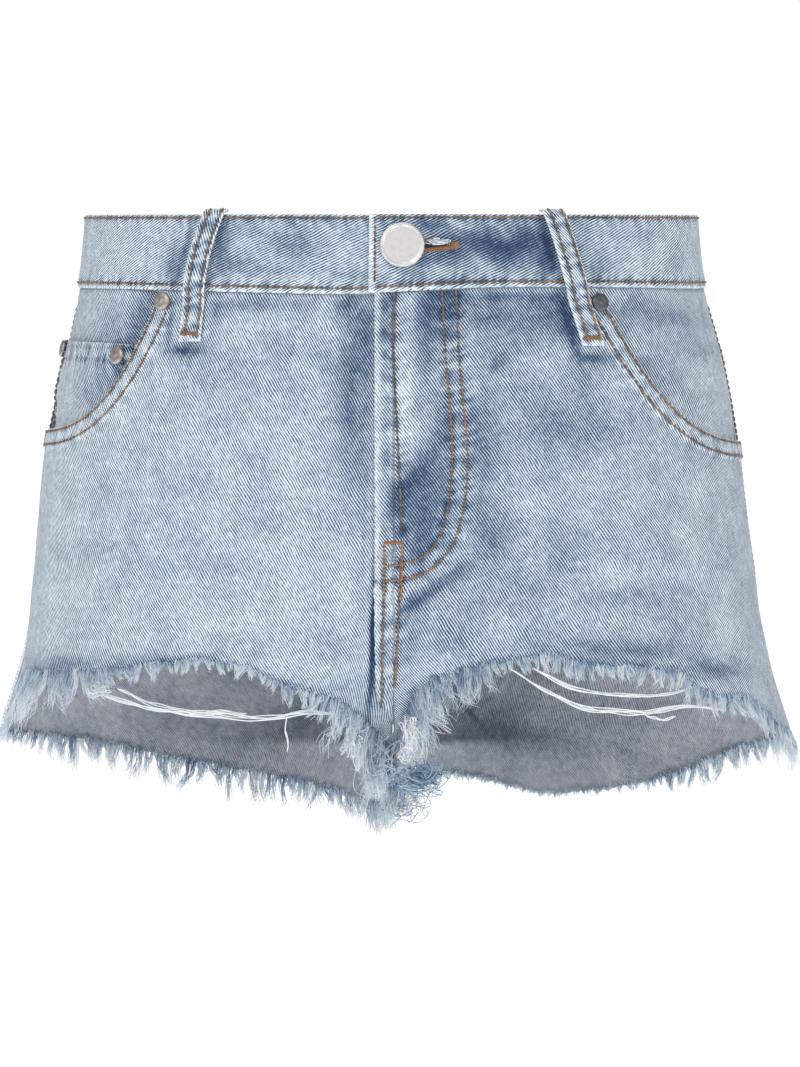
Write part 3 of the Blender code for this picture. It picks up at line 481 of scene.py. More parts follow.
def sewn_row(off, length, seed=0.0):
    """(relief, tone) beside a row of sewing: a groove that is a bell of the distance, and waves along
    the row whose pitch wanders, faded by a wider bell. The tone is painted shade in the groove, by a
    bell of the distance, and in each hollow of the waves, whose ridges are paler with rope wear."""
    phase = 2 * math.pi * length / 0.0066 + 1.9 * np.sin(length * 310 + seed) + seed
    wave = np.sin(phase + off * 420) * bell(off, 0.0038)
    relief = 0.00026 * wave - 0.00036 * bell(off, 0.0009)
    # Painted shade in the groove beside the row and in the waves' hollows; rope wear on their ridges.
    return relief, 0.24 * bell(off, 0.0014) - 0.24 * wave


def puckers(points, lines):
    """The sum of the reliefs and of the tones of several rows of sewing."""
    relief, tone = np.zeros(points.shape[:-1]), np.zeros(points.shape[:-1])
    for count, (z, angle) in enumerate(lines):
        row = sewn_row(*distance_along(points, plain_body(*evenly(z, angle, 0.0012))), count)
        relief, tone = relief + row[0], tone + row[1]
    return relief, tone


def fill_inputs(tree, node, inputs):
    """Gives a node its inputs, each a value or the socket joined to it."""
    for name, value in inputs.items():
        if isinstance(value, bpy.types.NodeSocket):
            tree.links.new(value, node.inputs[name])
        else:
            node.inputs[name].default_value = value


def add_node(tree, kind, inputs=None, **settings):
    """A shader node with its settings and its inputs."""
    node = tree.nodes.new("ShaderNode" + kind)
    for name, value in settings.items():
        setattr(node, name, value)
    fill_inputs(tree, node, inputs or {})
    return node


def new_material(name):
    """(a new material, its node tree, its shader)."""
    material = bpy.data.materials.new(name)
    material.use_nodes = True
    return material, material.node_tree, material.node_tree.nodes["Principled BSDF"]


def place_in_cloth(tree):
    return add_node(tree, "UVMap", uv_map="fabric").outputs[0]


def point_tone(tree, name):
    return add_node(tree, "Attribute", attribute_name=name).outputs["Fac"]


def times(tree, vector, factors):
    """A vector with each of its parts multiplied by its own factor."""
    return add_node(tree, "VectorMath", {0: vector, 1: factors}, operation="MULTIPLY").outputs[0]


def reckon(tree, operation, *values):
    """The result of a Math node."""
    return add_node(tree, "Math", dict(enumerate(values)), operation=operation).outputs[0]


def new_group(name, inputs, outputs):
    """A shader group with float, vector or colour sockets, its input sockets and its output node."""
    tree = bpy.data.node_groups.new(name, "ShaderNodeTree")
    for way, sockets in (("INPUT", inputs), ("OUTPUT", outputs)):
        for socket, kind in sockets:
            tree.interface.new_socket(socket, in_out=way, socket_type="NodeSocket" + kind)
    return tree, tree.nodes.new("NodeGroupInput").outputs, tree.nodes.new("NodeGroupOutput").inputs


def finish_group(tree, out, **results):
    for name, socket in results.items():
        tree.links.new(socket, out[name])
    return tree


def noise(tree, vector, scale, detail=0.0, stretch=(1.0, 1.0, 1.0)):
    """Soft 2D noise less a half, on a vector stretched by three factors."""
    made = add_node(tree, "TexNoise", {"Vector": times(tree, vector, stretch), "Scale": scale,
                                       "Detail": detail}, noise_dimensions="2D")
    return reckon(tree, "SUBTRACT", made.outputs["Fac"], 0.5)


def denim_weave_group():
    """Twill: a sine across the ribs, in millimetres of cloth that wander a little, broken up along
    them by stretched noise, over clouds and flecks of dye. Depth is how blue, 0 to 1, with the
    painted shade that comes in with the indigo."""
    tree, given, out = new_group(
        "denim_weave",
        (("Fabric", "Vector"), ("Indigo_and_shade", "Float"), ("Wear", "Float"), ("Lean", "Float"),
         ("Pitch", "Float"), ("Contrast", "Float")),
        (("Depth", "Float"), ("Roughness", "Float"), ("Height", "Float")))
    mm = times(tree, given["Fabric"], (1000, 1000, 1000))
    sway = add_node(tree, "TexNoise", {"Vector": mm, "Scale": 0.09, "Detail": 1.0},
                    noise_dimensions="2D").outputs["Color"]
    cloth = add_node(tree, "VectorMath", {0: mm, 1: times(tree, sway, (1.3, 1.3, 0.0))},
                     operation="ADD").outputs[0]
    turned = add_node(tree, "VectorRotate", {"Vector": cloth, "Angle": given["Lean"]},
                      rotation_type="Z_AXIS").outputs[0]
    across = add_node(tree, "SeparateXYZ", {0: turned}).outputs[0]
    rib = reckon(tree, "SINE", reckon(tree, "DIVIDE", reckon(tree, "MULTIPLY", across, 2 * math.pi),
                                      given["Pitch"]))
    streak = noise(tree, turned, 1.0, 1.0, (1.3, 0.34, 1.0))
    fleck = noise(tree, turned, 1.0, 0.0, (2.6, 1.6, 1.0))
    blotch = noise(tree, mm, 0.30, 2.0)
    cloud = noise(tree, mm, 0.060, 2.0)
    broken = reckon(tree, "MULTIPLY_ADD", streak, 1.8, 0.85)
    ribs = reckon(tree, "MULTIPLY", reckon(tree, "MULTIPLY", rib, broken), given["Contrast"])
    dye_and_shade = reckon(tree, "MULTIPLY_ADD", cloud, 0.40, given["Indigo_and_shade"])
    dye_and_shade = reckon(tree, "MULTIPLY_ADD", blotch, 0.42, dye_and_shade)
    dye_and_shade = reckon(tree, "MULTIPLY_ADD", streak, 0.34, dye_and_shade)
    dye_and_shade = reckon(tree, "MULTIPLY_ADD", fleck, 0.40, dye_and_shade)
    dye_and_shade = reckon(tree, "SUBTRACT", dye_and_shade, ribs)
    depth = reckon(tree, "MULTIPLY_ADD", given["Wear"], -0.62, dye_and_shade)
    height = reckon(tree, "MULTIPLY_ADD", blotch, 1.4, reckon(tree, "MULTIPLY", rib, broken))
    height = reckon(tree, "MULTIPLY_ADD", fleck, 1.4, height)
    return finish_group(tree, out, Depth=depth, Height=height,
                        Roughness=reckon(tree, "MULTIPLY_ADD", depth, -0.10, 0.93))


def linear(red, green, blue):
    """A screen colour, 0 to 255, as linear light: 2.4 power above the toe."""
    share = np.array([red, green, blue]) / 255
    return (*np.where(share > 0.04045, ((share + 0.055) / 1.055) ** 2.4, share / 12.92), 1.0)


def shade_ramp(tree, depth, shades, places):
    """The colour at a depth of dye, between shades at these places from 0 to 1."""
    ramp = add_node(tree, "ValToRGB", {"Fac": depth})
    stops = ramp.color_ramp.elements
    stops[0].color = linear(*shades[0])
    stops[1].color = linear(*shades[-1])
    for place, shade in zip(places[1:-1], shades[1:-1]):
        stops.new(place).color = linear(*shade)
    return ramp.outputs["Color"]


def dyed_cloth(name, shades, lean, contrast, pitch=1.17):
    """Woven cloth: the weave's depth runs through a ramp of shades, and its height bumps it."""
    material, tree, shader = new_material(name)
    weave = add_node(tree, "Group", {
        "Fabric": place_in_cloth(tree), "Indigo_and_shade": point_tone(tree, "indigo_and_shade"),
        "Wear": point_tone(tree, "wear"), "Lean": math.radians(lean), "Pitch": pitch,
        "Contrast": contrast}, node_tree=denim_weave).outputs
    rough = add_node(tree, "Bump", {"Height": weave["Height"], "Distance": 0.00014, "Strength": 0.9})
    fill_inputs(tree, shader, {
        "Base Color": shade_ramp(tree, weave["Depth"], shades, np.linspace(0, 1, len(shades))),
        "Roughness": weave["Roughness"], "Normal": rough.outputs["Normal"],
        "Specular IOR Level": 0.25, "Sheen Weight": 0.12, "Sheen Roughness": 0.5})
    return material


denim_weave = denim_weave_group()
INDIGO_SHADES = ((232, 239, 244), (188, 203, 216), (130, 154, 178), (76, 101, 134), (38, 56, 90))
REVERSE_SHADES = ((206, 209, 213), (178, 183, 190), (146, 153, 163), (112, 121, 134), (78, 88, 102))
EDGE_SHADES = ((228, 235, 240), (196, 210, 221), (158, 179, 200), (116, 140, 168), (84, 108, 140))
denim_outside = dyed_cloth("denim_outside", INDIGO_SHADES, -30, 0.62)
denim_inside = dyed_cloth("denim_inside", REVERSE_SHADES, 38, 0.22, pitch=1.05)
cut_edge = dyed_cloth("cut_edge", EDGE_SHADES, 10, 0.15, pitch=1.0)

# Where the wash left the dye or took it, and where shade is painted on, as seen from the front, in
# millimetres: x, z, lean in degrees, half length, half width, and how much bluer (above 0) or paler
# than the cloth round it. The painted shade is the dark gap and the shadows beside the fly's lap,
# the shadows left of the front belt loops, and the darker seat inside, between the legs.
WASH_AND_SHADE = {
    "front_right": (
        # Painted shadows left of the front right belt loop and under its foot: the two rows of the next
        # line.
        (-103.9, -49.6, 80, 12, 1.8, 0.45), (-97, -62.1, 0, 6.9, 1.8, 0.40),
        (-20.1, -76.3, 86, 41.4, 6.4, 0.32), (-66.2, -67.1, 8, 41.4, 20.3, 0.11),
        # Painted shadow: the last row of the next line is the dark gap beside the fly's lap.
        (-70.8, -117.8, 4, 41.4, 20.3, 0.05), (-9.5, -196, 88, 42.4, 1.1, 0.85),
        # Painted shade beside the fly's lap: the last row of the next line and the first row of the line
        # after it. The last row of that line is painted shade in the cleft down the centre seam.
        (-112.2, -159.2, 0, 41.4, 27.6, 0.03), (-12.3, -94.7, 88, 64.5, 3.2, 0.30),
        (-13.7, -53.3, 88, 23, 3.7, 0.20), (-9.5, -196, 86, 36.8, 1.8, 0.40),
        (-112.2, -39.5, 0, 7.4, 6.4, 0.40), (-62.5, -41.3, 0, 25.3, 3.7, 0.34),
        (-95.6, -62.5, 0, 10.1, 3.7, 0.38), (-22, -41.3, 60, 8.3, 4.1, 0.42),
        # Painted shade beside the fly's lap: both rows of the next line.
        (-19.2, -85.5, 86, 32.2, 4.6, 0.16), (-19.2, -122.4, 84, 27.6, 3.7, 0.14),
        (-25.6, -69.4, 80, 20.7, 7.4, 0.10), (-82.3, -44.1, 85, 13.8, 3.7, 0.30),
        (-121.4, -127.9, 4, 27.6, 2.8, 0.08), (-137.5, -152.3, 3, 32.2, 2.8, 0.07),
        (-75.4, -196, -4, 27.6, 3.2, 0.07), (-116.8, -117.8, 8, 23, 2.3, 0.06),
        (-107.6, -140.8, -2, 27.6, 2.3, 0.06), (-29.3, -200.6, 20, 15.7, 10.1, 0.09),
        (-14.6, -223.7, 70, 12, 6.4, 0.14), (-29.3, -219.1, 10, 13.8, 4.6, 0.14),
        (-135.2, -206.2, 2, 32.2, 2.8, 0.22), (-153.6, -208.9, 0, 13.8, 4.6, 0.20),
        (-75.4, -202.9, 0, 27.6, 2.3, 0.10), (-93.8, -166.1, 10, 27.6, 6.4, 0.04),
        (-66.2, -186.8, -6, 27.6, 7.4, -0.10), (-80, -53.3, 4, 27.6, 6.4, -0.09),
        (-153.6, -177.6, 88, 27.6, 6.4, -0.05), (-59.3, -104, 20, 27.6, 13.8, -0.02),
        (-112.2, -196, 0, 23, 5.5, -0.05), (-22.4, -177.6, 88, 27.6, 3.7, -0.08),
        (-126, -85.5, 60, 13.8, 9.2, -0.04), (-43.1, -140.8, 0, 23, 12, 0.03),
        (-52.3, -62.5, 10, 23, 5.5, 0.03), (-33.9, -159.2, -20, 18.4, 5.5, 0.04),
    ),
    "front_left": (
        # Painted shadows left of the front left belt loop and under its foot: the two rows of the next
        # line.
        (79.8, -47.8, -74, 16.6, 1.8, 0.50), (90.4, -65.3, 0, 7.4, 1.8, 0.42),
        (-3.5, -42.3, 90, 2.8, 2.3, 0.34), (-4.5, -54.2, 90, 2.8, 2.3, 0.32),
        (-3.5, -65.3, 90, 2.8, 2.3, 0.26), (-3.5, -75.4, 90, 2.8, 2.3, 0.26),
        (-3.1, -85.5, 90, 2.8, 2.3, 0.22), (-2.6, -96.6, 90, 3.2, 2.3, 0.30),
        (-2.6, -112.2, 90, 4.1, 2.3, 0.34), (-0.3, -131.6, 80, 7.4, 2.8, 0.30),
        (9.8, -90.1, 75, 4.6, 2.3, 0.18), (76.6, -99.3, 10, 32.2, 21.2, 0.22),
        (95, -150, 10, 27.6, 18.4, 0.05), (58.1, -150, 10, 27.6, 23, 0.05),
        (-2.6, -40.4, 10, 5.5, 4.6, 0.46), (15.8, -42.3, 80, 12, 6.4, 0.52),
        (26.8, -46.4, 88, 13.8, 5.5, 0.42), (54.5, -38.1, 0, 27.6, 2.8, 0.46),
        (54.5, -45, 0, 23, 5.5, 0.22), (-4, -55.6, 85, 9.2, 3.7, 0.25), (5.2, -85.5, 88, 28.5, 4.1, -0.24),
        (15.8, -60.2, 85, 13.8, 5.5, 0.36), (13.9, -78.6, 88, 13.8, 4.6, 0.08),
        (24.1, -99.3, 88, 16.6, 4.6, 0.34), (16.7, -108.6, 60, 12, 4.6, 0.20),
        (8.4, -122.4, 55, 12, 6.4, 0.44), (3.8, -138.5, 85, 15.7, 5.5, 0.42),
        (14.9, -136.2, 80, 20.3, 6.4, 0.52), (24.1, -131.6, 88, 18.4, 4.1, 0.26),
        (12.1, -155.5, 40, 9.2, 5.5, 0.40), (19.5, -172.1, 36, 20.3, 3.2, 0.46),
        (7.5, -179.5, 50, 6.4, 3.7, 0.30), (-0.8, -177.6, 88, 9.2, 2.8, -0.20),
        (40.7, -117.8, 88, 38.7, 7.4, 0.20), (47.1, -150, 80, 12, 10.1, 0.20),
        (35.1, -94.7, 88, 13.8, 6.4, 0.12), (44.3, -48.7, 70, 11, 12, 0.20),
        (74.7, -45, 80, 11, 10.1, 0.26), (58.1, -60.2, 10, 20.3, 10.1, 0.12),
        (47.6, -69, 30, 4.1, 2.8, 0.34), (82.1, -55.6, -70, 13.8, 3.7, 0.32),
        (95, -67.1, 20, 6.4, 3.7, 0.34), (100.5, -39.5, 0, 6.4, 5.5, 0.40),
        (60.5, -80.9, -10, 18.4, 9.2, 0.04), (104.2, -166.1, 0, 12, 5.5, -0.14),
        (81.2, -127, 0, 27.6, 20.3, -0.10), (141, -140.8, 80, 23, 6.4, -0.10),
        (155.8, -186.8, 80, 21.2, 5.5, -0.12), (76.6, -159.2, 20, 23, 4.6, 0.05),
        (95, -177.6, 10, 23, 5.5, 0.07), (48.9, -177.6, 20, 23, 6.4, 0.08),
        (21.3, -196, 10, 15.7, 9.2, 0.18), (76.6, -198.3, 0, 27.6, 5.5, 0.16),
        (113.4, -201.6, 0, 23, 4.6, 0.30), (147.9, -210.8, -6, 15.7, 4.6, 0.34),
        (131.8, -196, 80, 11, 3.7, 0.12), (122.6, -177.6, -10, 18.4, 3.7, 0.06),
        (8.4, -196, 85, 13.8, 4.1, 0.14), (58.1, -104, -10, 18.4, 4.6, -0.06),
        (113.4, -99.3, -40, 18.4, 6.4, -0.06), (136.4, -173, -15, 18.4, 3.2, 0.08),
        (141, -159.2, -20, 16.6, 2.8, 0.07), (69.7, -140.8, 30, 18.4, 2.8, 0.05),
    ),
    "coin_pocket": (
        (-134.9, -76.4, 60, 18.9, 12.3, 0.28), (-128.3, -70.8, 85, 12.3, 3.3, 0.24),
    ),
    "pocket_facing_right": (
        (-118.4, -45.3, 70, 16, 4.2, 0.40), (-138.7, -65.1, 60, 21.7, 14.2, 0.36),
        (-134, -81.6, 70, 12.3, 3.8, 0.22), (-148.1, -50.9, 0, 9.4, 9.4, -0.04),
        (-156.6, -91.1, 10, 6.6, 4.7, 0.20), (-125.5, -60.4, 0, 4.7, 6.6, 0.20),
        (-141.1, -70.8, 20, 9.4, 4.7, 0.10),
    ),
    "pocket_facing_left": (
        (120.9, -50.9, -20, 18.9, 12.3, 0.12), (116.2, -41.5, -10, 14.2, 6.6, 0.22),
        (139.8, -46.2, 0, 18.9, 4.7, 0.18), (125.6, -74.5, -30, 18.9, 6.6, 0.24),
        (144.5, -60.4, 0, 14.2, 5.7, 0.12), (106.7, -48.6, -60, 9.4, 3.8, 0.20),
    ),
    "waistband": (
        (43.4, -14.6, 3, 36.8, 12.9, 0.60), (31.9, -5.4, -25, 7.4, 1.8, -0.30),
        (38.8, -21.1, -35, 7.4, 2.8, -0.28), (52.2, -10, -50, 4.6, 2.3, -0.25),
        (59.1, -20.2, -50, 4.6, 3.7, -0.26), (18.1, -24.8, -10, 6.4, 2.3, -0.25),
        (17.6, -4.5, 10, 8.3, 3.2, 0.20), (62.8, -10, 10, 10.1, 5.5, 0.24), (5.2, -5, 0, 12, 2.8, 0.25),
        # Painted shadows left of the two front belt loops: the last row of the next line and the first row
        # of the line after it.
        (-43.1, -16.5, 0, 18.4, 7.4, 0.22), (-96.5, -16.5, 75, 20.3, 1.6, 0.50),
        (71.5, -16.5, -75, 19.3, 1.6, 0.50), (-79.1, -11.9, 88, 16.6, 4.6, 0.50),
        (-72.6, -22, 0, 6.4, 4.6, 0.30), (-47.7, -11.9, 20, 13.8, 4.6, 0.16),
        (-24.7, -16.5, 0, 13.8, 5.5, -0.05), (-63.9, -8.2, -10, 11, 3.7, 0.20),
        # Painted shadow left of the front right belt loop: the last row of the next line.
        (-126, -14.2, 0, 13.8, 11, -0.06), (-102.1, -22, 85, 10.1, 3.7, 0.34),
        # Painted shadow left of the front left belt loop: the last row of the next line.
        (-1.7, -31.2, 0, 8.3, 2.8, 0.10), (16.7, -22, 20, 9.2, 4.6, 0.40), (69.7, -22, 80, 10.1, 3.7, 0.42),
        (28.2, -31.2, 0, 23, 1.8, 0.30), (51.2, -16.5, -20, 13.8, 5.5, 0.34),
        (104.2, -14.2, 0, 15.7, 7.4, -0.05), (118, -8.2, 20, 11, 3.2, 0.14), (95, -22, 80, 8.3, 3.7, 0.26),
        (131.8, -16.5, 80, 11, 4.6, 0.10), (88.1, -8.2, 80, 9.2, 2.8, 0.20),
        (-8.1, -16.5, 88, 13.8, 2.8, -0.10), (-43.1, -3.6, 0, 18.4, 2.3, 0.12),
        (-54.7, -25.7, 0, 23, 2.3, 0.16), (-20.1, -28, 0, 11, 2.3, 0.22),
    ),
}
FRONT_INDIGO = {-1: 0.345, 1: 0.430}
FRONT_GRAIN = {-1: 0.0, 1: -6.0}
FLY_EDGE_STITCH = ((0.0001, -0.0365), (-0.0001, -0.0580), (0.0020, -0.1072), (0.0032, -0.1320),
                   (0.0038, -0.1495))
FLY_INNER_STITCH = ((0.0222, -0.0350), (0.0234, -0.0580), (0.0236, -0.1403), (0.0213, -0.1482),
                    (0.0149, -0.1564), (0.0038, -0.1610), (-0.0040, -0.1620))
FLY_OUTER_STITCH = ((0.0287, -0.0350), (0.0296, -0.0580), (0.0305, -0.1426), (0.0278, -0.1509),
                    (0.0213, -0.1597), (0.0149, -0.1647), (0.0038, -0.1680), (-0.0040, -0.1689))
CENTRE_STITCHES = (((-0.0042, -0.1592), (-0.0052, -0.1950), (-0.0062, -0.2290)),
                   ((0.0032, -0.1592), (0.0020, -0.1900), (0.0008, -0.2170)))
SCOOP_STITCHES = (0.0014, 0.0078)
scoop_edges = {}
scoop_lines = {}
for side, (corner, _, _) in SCOOPS.items():
    a = side * np.linspace(corner + 0.2, 89.6, 400)
    scoop_edges[side] = (pocket_edge_z(a), a)
    scoop_lines[side] = [beside(*scoop_edges[side], side * off) for off in SCOOP_STITCHES]
fly_lines = [front_line(FLY_EDGE_STITCH), front_line(FLY_INNER_STITCH), front_line(FLY_OUTER_STITCH)]
centre_lines = [front_line(line) for line in CENTRE_STITCHES]


def edge_wear(points, line, reach, strength=1.0):
    """A bell of the distance from a line, broken up along it by three sines."""
    off, length = distance_along(points, line)
    ragged = (0.78 + 0.16 * np.sin(length * 900) + 0.14 * np.sin(length * 390 + 1)
              + 0.10 * np.sin(length * 2100 + 2))
    return strength * ragged * bell(off, reach)


def panel(node, z, angle, out, indigo_and_shade, lines=(), worn=(), hem=False, grain=0.0):
    """One cut piece as a wall of cloth: its relief and tones come from its rows of sewing, with painted
    shade in their grooves, its worn lines (line, reach, strength), its wash with painted shade among
    it and, at a raw hem, a bluer line above the edge."""
    plain = plain_body(z, angle)
    relief, tone = puckers(plain, lines)
    indigo_and_shade = indigo_and_shade + tone + bells(plain * 1000, WASH_AND_SHADE.get(node, ()), 1.0)
    wear = np.zeros(z.shape)
    for line, reach, strength in worn:
        wear += edge_wear(plain, line, reach, strength)
    if hem:
        off, along = distance_along(plain, plain[-1])
        patchy = 0.5 + 0.5 * np.sin(along * 95 + 1.3 * np.sin(along * 41))
        indigo_and_shade += (0.10 + 0.20 * patchy) * bell(off - 0.0012, 0.0016)
    points = body(z, angle, out + relief)
    cloth = cloth_wall("cloth_" + node, points, DENIM, fabric_lie(z, angle, grain),
                       {"indigo_and_shade": indigo_and_shade, "wear": wear}, [denim_outside, denim_inside, cut_edge])
    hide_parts(node)
    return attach(cloth, "root")


def make_front(side):
    """A front, its scoop folded double for 9 mm under two rows, its fly edge worn to the white."""
    z, angle = front_grid(side)
    plain = plain_body(z, angle)
    scoop = plain_body(*scoop_edges[side])
    off, _ = distance_along(plain, scoop)
    folded = ease(0.0096, 0.0086, off) * ease(0, 0.001, off)
    out = lap_offset(side, z, angle) + FOLD_LIFT * folded
    turned_in = plain_body(*beside(*scoop_edges[side], side * 0.0094))
    lines = list(scoop_lines[side])
    worn = [(scoop, 0.0014, 0.62), (turned_in, 0.0010, 0.30)]
    if side > 0:
        lines += fly_lines + centre_lines
        worn.append((plain[:, 0], 0.0023, 0.45 + 0.40 * ease(-0.204, -0.186, z)))
    indigo_and_shade = FRONT_INDIGO[side] - 0.13 * ease(0.0104, 0.0088, off)
    return panel(sided("front", side), z, angle, out, indigo_and_shade, lines, worn, True,
                 FRONT_GRAIN[side])


cloth_front_right = make_front(-1)
cloth_front_left = make_front(1)

# ------------------------------------------------------------------ front pockets
# Behind each scoop lies a facing of the same denim, sewn into the waistband and the side seam. The
# right one carries the small coin pocket, its top folded over and its sides sewn down twice.
POCKET_UNDERLAP = 0.014
COIN_TOP_Z = (-0.0588, -0.0548)
COIN_ANGLES = (48.0, 82.0)
FACING_INDIGO, COIN_INDIGO = 0.37, 0.33


def facing_depth(z, angle):
    """How deep a facing lies: under the front, and under the coin pocket on the right, and
    nearly level with the front where it is sewn into the waistband and the side seam."""
    side = side_of(angle)
    under = DENIM + 2 * GAP if side > 0 else 2 * DENIM + 4 * GAP
    clear_of_edge = ease(0.004, 0.020, z - pocket_edge_z(angle))
    past_corner = ease(1, 10, np.abs(angle) - SCOOPS[side][0])
    return under + (2 * GAP - under) * clear_of_edge * past_corner


def coin_lift(z, angle):
    return DENIM + 2 * GAP - facing_depth(z, angle)


def make_pocket_facing(side, rows=44, columns=80):
    angle = side * np.linspace(SCOOPS[side][0] - 8, 89.99, columns)[None, :]
    top = waist_seam_z(angle) - GAP
    bottom = pocket_edge_z(angle) - POCKET_UNDERLAP
    z = top + (bottom - top) * np.linspace(0, 1, rows)[:, None]
    angle = angle + 0 * z
    return panel(sided("pocket_facing", side), z, angle, -facing_depth(z, angle),
                 FACING_INDIGO, grain=-6.0)


def make_coin_pocket(rows=36, columns=52):
    """A patch whose foot goes under the front: its fold at the top is doubled for 9 mm."""
    s = np.linspace(0, 1, columns)[None, :]
    angle = -(COIN_ANGLES[0] + (COIN_ANGLES[1] - COIN_ANGLES[0]) * s)
    top = COIN_TOP_Z[0] + (COIN_TOP_Z[1] - COIN_TOP_Z[0]) * s
    bottom = np.minimum(pocket_edge_z(angle), top) - POCKET_UNDERLAP * 0.6
    z = top + (bottom - top) * np.linspace(0, 1, rows)[:, None]
    angle = angle + 0 * z
    fold = (top[0], angle[0])
    sides = [(z[:, j], angle[:, j]) for j in (0, -1)]
    hem_lines = [beside(*fold, off) for off in (-0.0017, -0.0082)]
    coin_lines.extend([beside(*edge, way * off) for edge, way in zip(sides, (1, -1))
                       for off in (0.0016, 0.0062)])
    worn = [(plain_body(*fold), 0.0014, 0.7)] + [(plain_body(*s), 0.0011, 0.5) for s in sides]
    return panel("coin_pocket", z, angle, coin_lift(z, angle), COIN_INDIGO,
                 hem_lines + coin_lines, worn, grain=4.0)


coin_lines = []
cloth_pocket_facing_right = make_pocket_facing(-1)
cloth_pocket_facing_left = make_pocket_facing(1)
cloth_coin_pocket = make_coin_pocket()

# ------------------------------------------------------------------ back panels and yokes
# Each back is two pieces: a shallow yoke that shapes the seat, lapped over the panel under it and
# sewn twice. The left side laps over the right down the seat seam, and the hem is left raw.
YOKE_SIDE_Z, YOKE_CENTRE_Z = -0.066, -0.100
BACK_INDIGO = 0.39
WASH_AND_SHADE["back_right"] = (
    (-85, -165, 4, 50, 50, -0.09), (-20, -150, 88, 60, 10, 0.20), (-140, -190, 80, 40, 12, -0.05),
    (-60, -246, 10, 50, 7, 0.16), (-110, -240, -8, 30, 6, 0.12), (-30, -225, 40, 34, 7, 0.20),
    (-120, -150, -10, 34, 4, 0.09), (-60, -210, 20, 50, 10, 0.10),
)
WASH_AND_SHADE["back_left"] = (
    (88, -168, -4, 50, 52, -0.09), (18, -150, 88, 60, 10, 0.20), (142, -185, 80, 40, 12, -0.05),
    (64, -250, -10, 50, 7, 0.16), (118, -238, 8, 30, 6, 0.12), (28, -222, -40, 34, 7, 0.20),
    (126, -156, 12, 34, 4, 0.09), (58, -212, -22, 50, 10, 0.10), (38, -237.5, -50, 11, 1.1, 0.45),
    # Painted shade: the last row of the next line darkens the seat where its inside shows between the legs.
    (52, -240, 0, 36, 20, 0.22),
)
WASH_AND_SHADE["yoke_right"] = (
    (-20, -70, 80, 30, 12, 0.16), (-80, -50, 0, 60, 6, 0.14), (-120, -60, 10, 30, 10, -0.06),
)
WASH_AND_SHADE["yoke_left"] = (
    (18, -72, 80, 30, 12, 0.16), (84, -50, 0, 60, 6, 0.14), (120, -62, -10, 30, 10, -0.06),
)


def yoke_z(angle):
    """The seam under the yoke, straight from the side down to the centre back."""
    return YOKE_SIDE_Z + (YOKE_CENTRE_Z - YOKE_SIDE_Z) * (np.abs(angle) - 90) / 90


def slit_flare(side, z, angle):
    """Beside the slit the back stands out past the front, most on the right."""
    most = 0.0045 if side < 0 else 0.0010
    return most * ease(SLIT_TOP_Z, -0.243, z) * ease(112, 92, np.abs(angle))


def back_grid(side, rows=118, columns=118):
    """Heights and angles of a back panel, from the yoke down to the raw hem."""
    name = sided("back", side)
    angles = np.linspace(180 - SEAM_ANGLE, 90, 1441)
    lines = [plain_body(z, side * angles) for z in (yoke_z(angles), hem_z(name, angles))]
    nominal = spread(angles, lines, (0.25, 0.60, 0.15), columns)[None, :]
    t = down_rows(YOKE_CENTRE_Z, HEMS[name][-1][1], rows)[:, None]
    top = yoke_z(nominal) - GAP
    z = top + (hem_z(name, nominal) - top) * t
    open_by = SEAM_ANGLE + slit(z, HEMS[name][0][1])
    return z, side * (nominal + open_by * ease(110, 90, nominal))


seat_z = np.linspace(-0.038, -0.236, 200)
seat_edge = (seat_z, 179.99 + 0 * seat_z)
side_seam_z = np.linspace(-0.038, SLIT_TOP_Z, 160)
side_lines = {side: beside(side_seam_z, side * (90.02 + 0 * side_seam_z), side * 0.0048)
              for side in (-1, 1)}
seat_lines = [beside(*seat_edge, off) for off in (0.0018, 0.0078)]
yoke_lines = {}
for side in (-1, 1):
    a = side * np.linspace(90.4, 179.6, 300)
    yoke_lines[side] = [beside(yoke_z(a), a, side * -off) for off in (0.0018, 0.0078)]


def make_yoke(side, rows=40, columns=110):
    around = 180 - SEAM_ANGLE - (90 - 2 * SEAM_ANGLE) * np.linspace(0, 1, columns)[None, :]
    t = np.linspace(0, 1, rows)[:, None]
    top = waist_seam_z(around) - GAP
    z = top + (yoke_z(around) - top) * t
    angle = side * around + 0 * z
    plain = plain_body(z, angle)
    off, _ = distance_along(plain, plain[-1])
    out = FOLD_LIFT * ease(0.0100, 0.0088, off) * ease(0, 0.001, off)
    lines = yoke_lines[side] + [side_lines[side]] + (seat_lines if side > 0 else [])
    side_seam = plain_body(side_seam_z, side * 90.02 + 0 * side_seam_z)
    worn = [(plain[-1], 0.0014, 0.6), (side_seam, 0.0013, 0.4)]
    if side > 0:
        worn.append((plain[:, 0], 0.0014, 0.6))
    return panel(sided("yoke", side), z, angle, out, BACK_INDIGO, lines, worn,
                 grain=-5.0)


def make_back(side):
    z, angle = back_grid(side)
    plain = plain_body(z, angle)
    lines = [side_lines[side]] + (seat_lines if side > 0 else [])
    worn = [(plain[:, -1], 0.0014, 0.5)]
    if side > 0:
        worn.append((plain_body(*seat_edge), 0.0014, 0.6))
    return panel(sided("back", side), z, angle, slit_flare(side, z, angle),
                 BACK_INDIGO, lines, worn, True, -5.0)


cloth_yoke_right = make_yoke(-1)
cloth_yoke_left = make_yoke(1)
cloth_back_right = make_back(-1)
cloth_back_left = make_back(1)

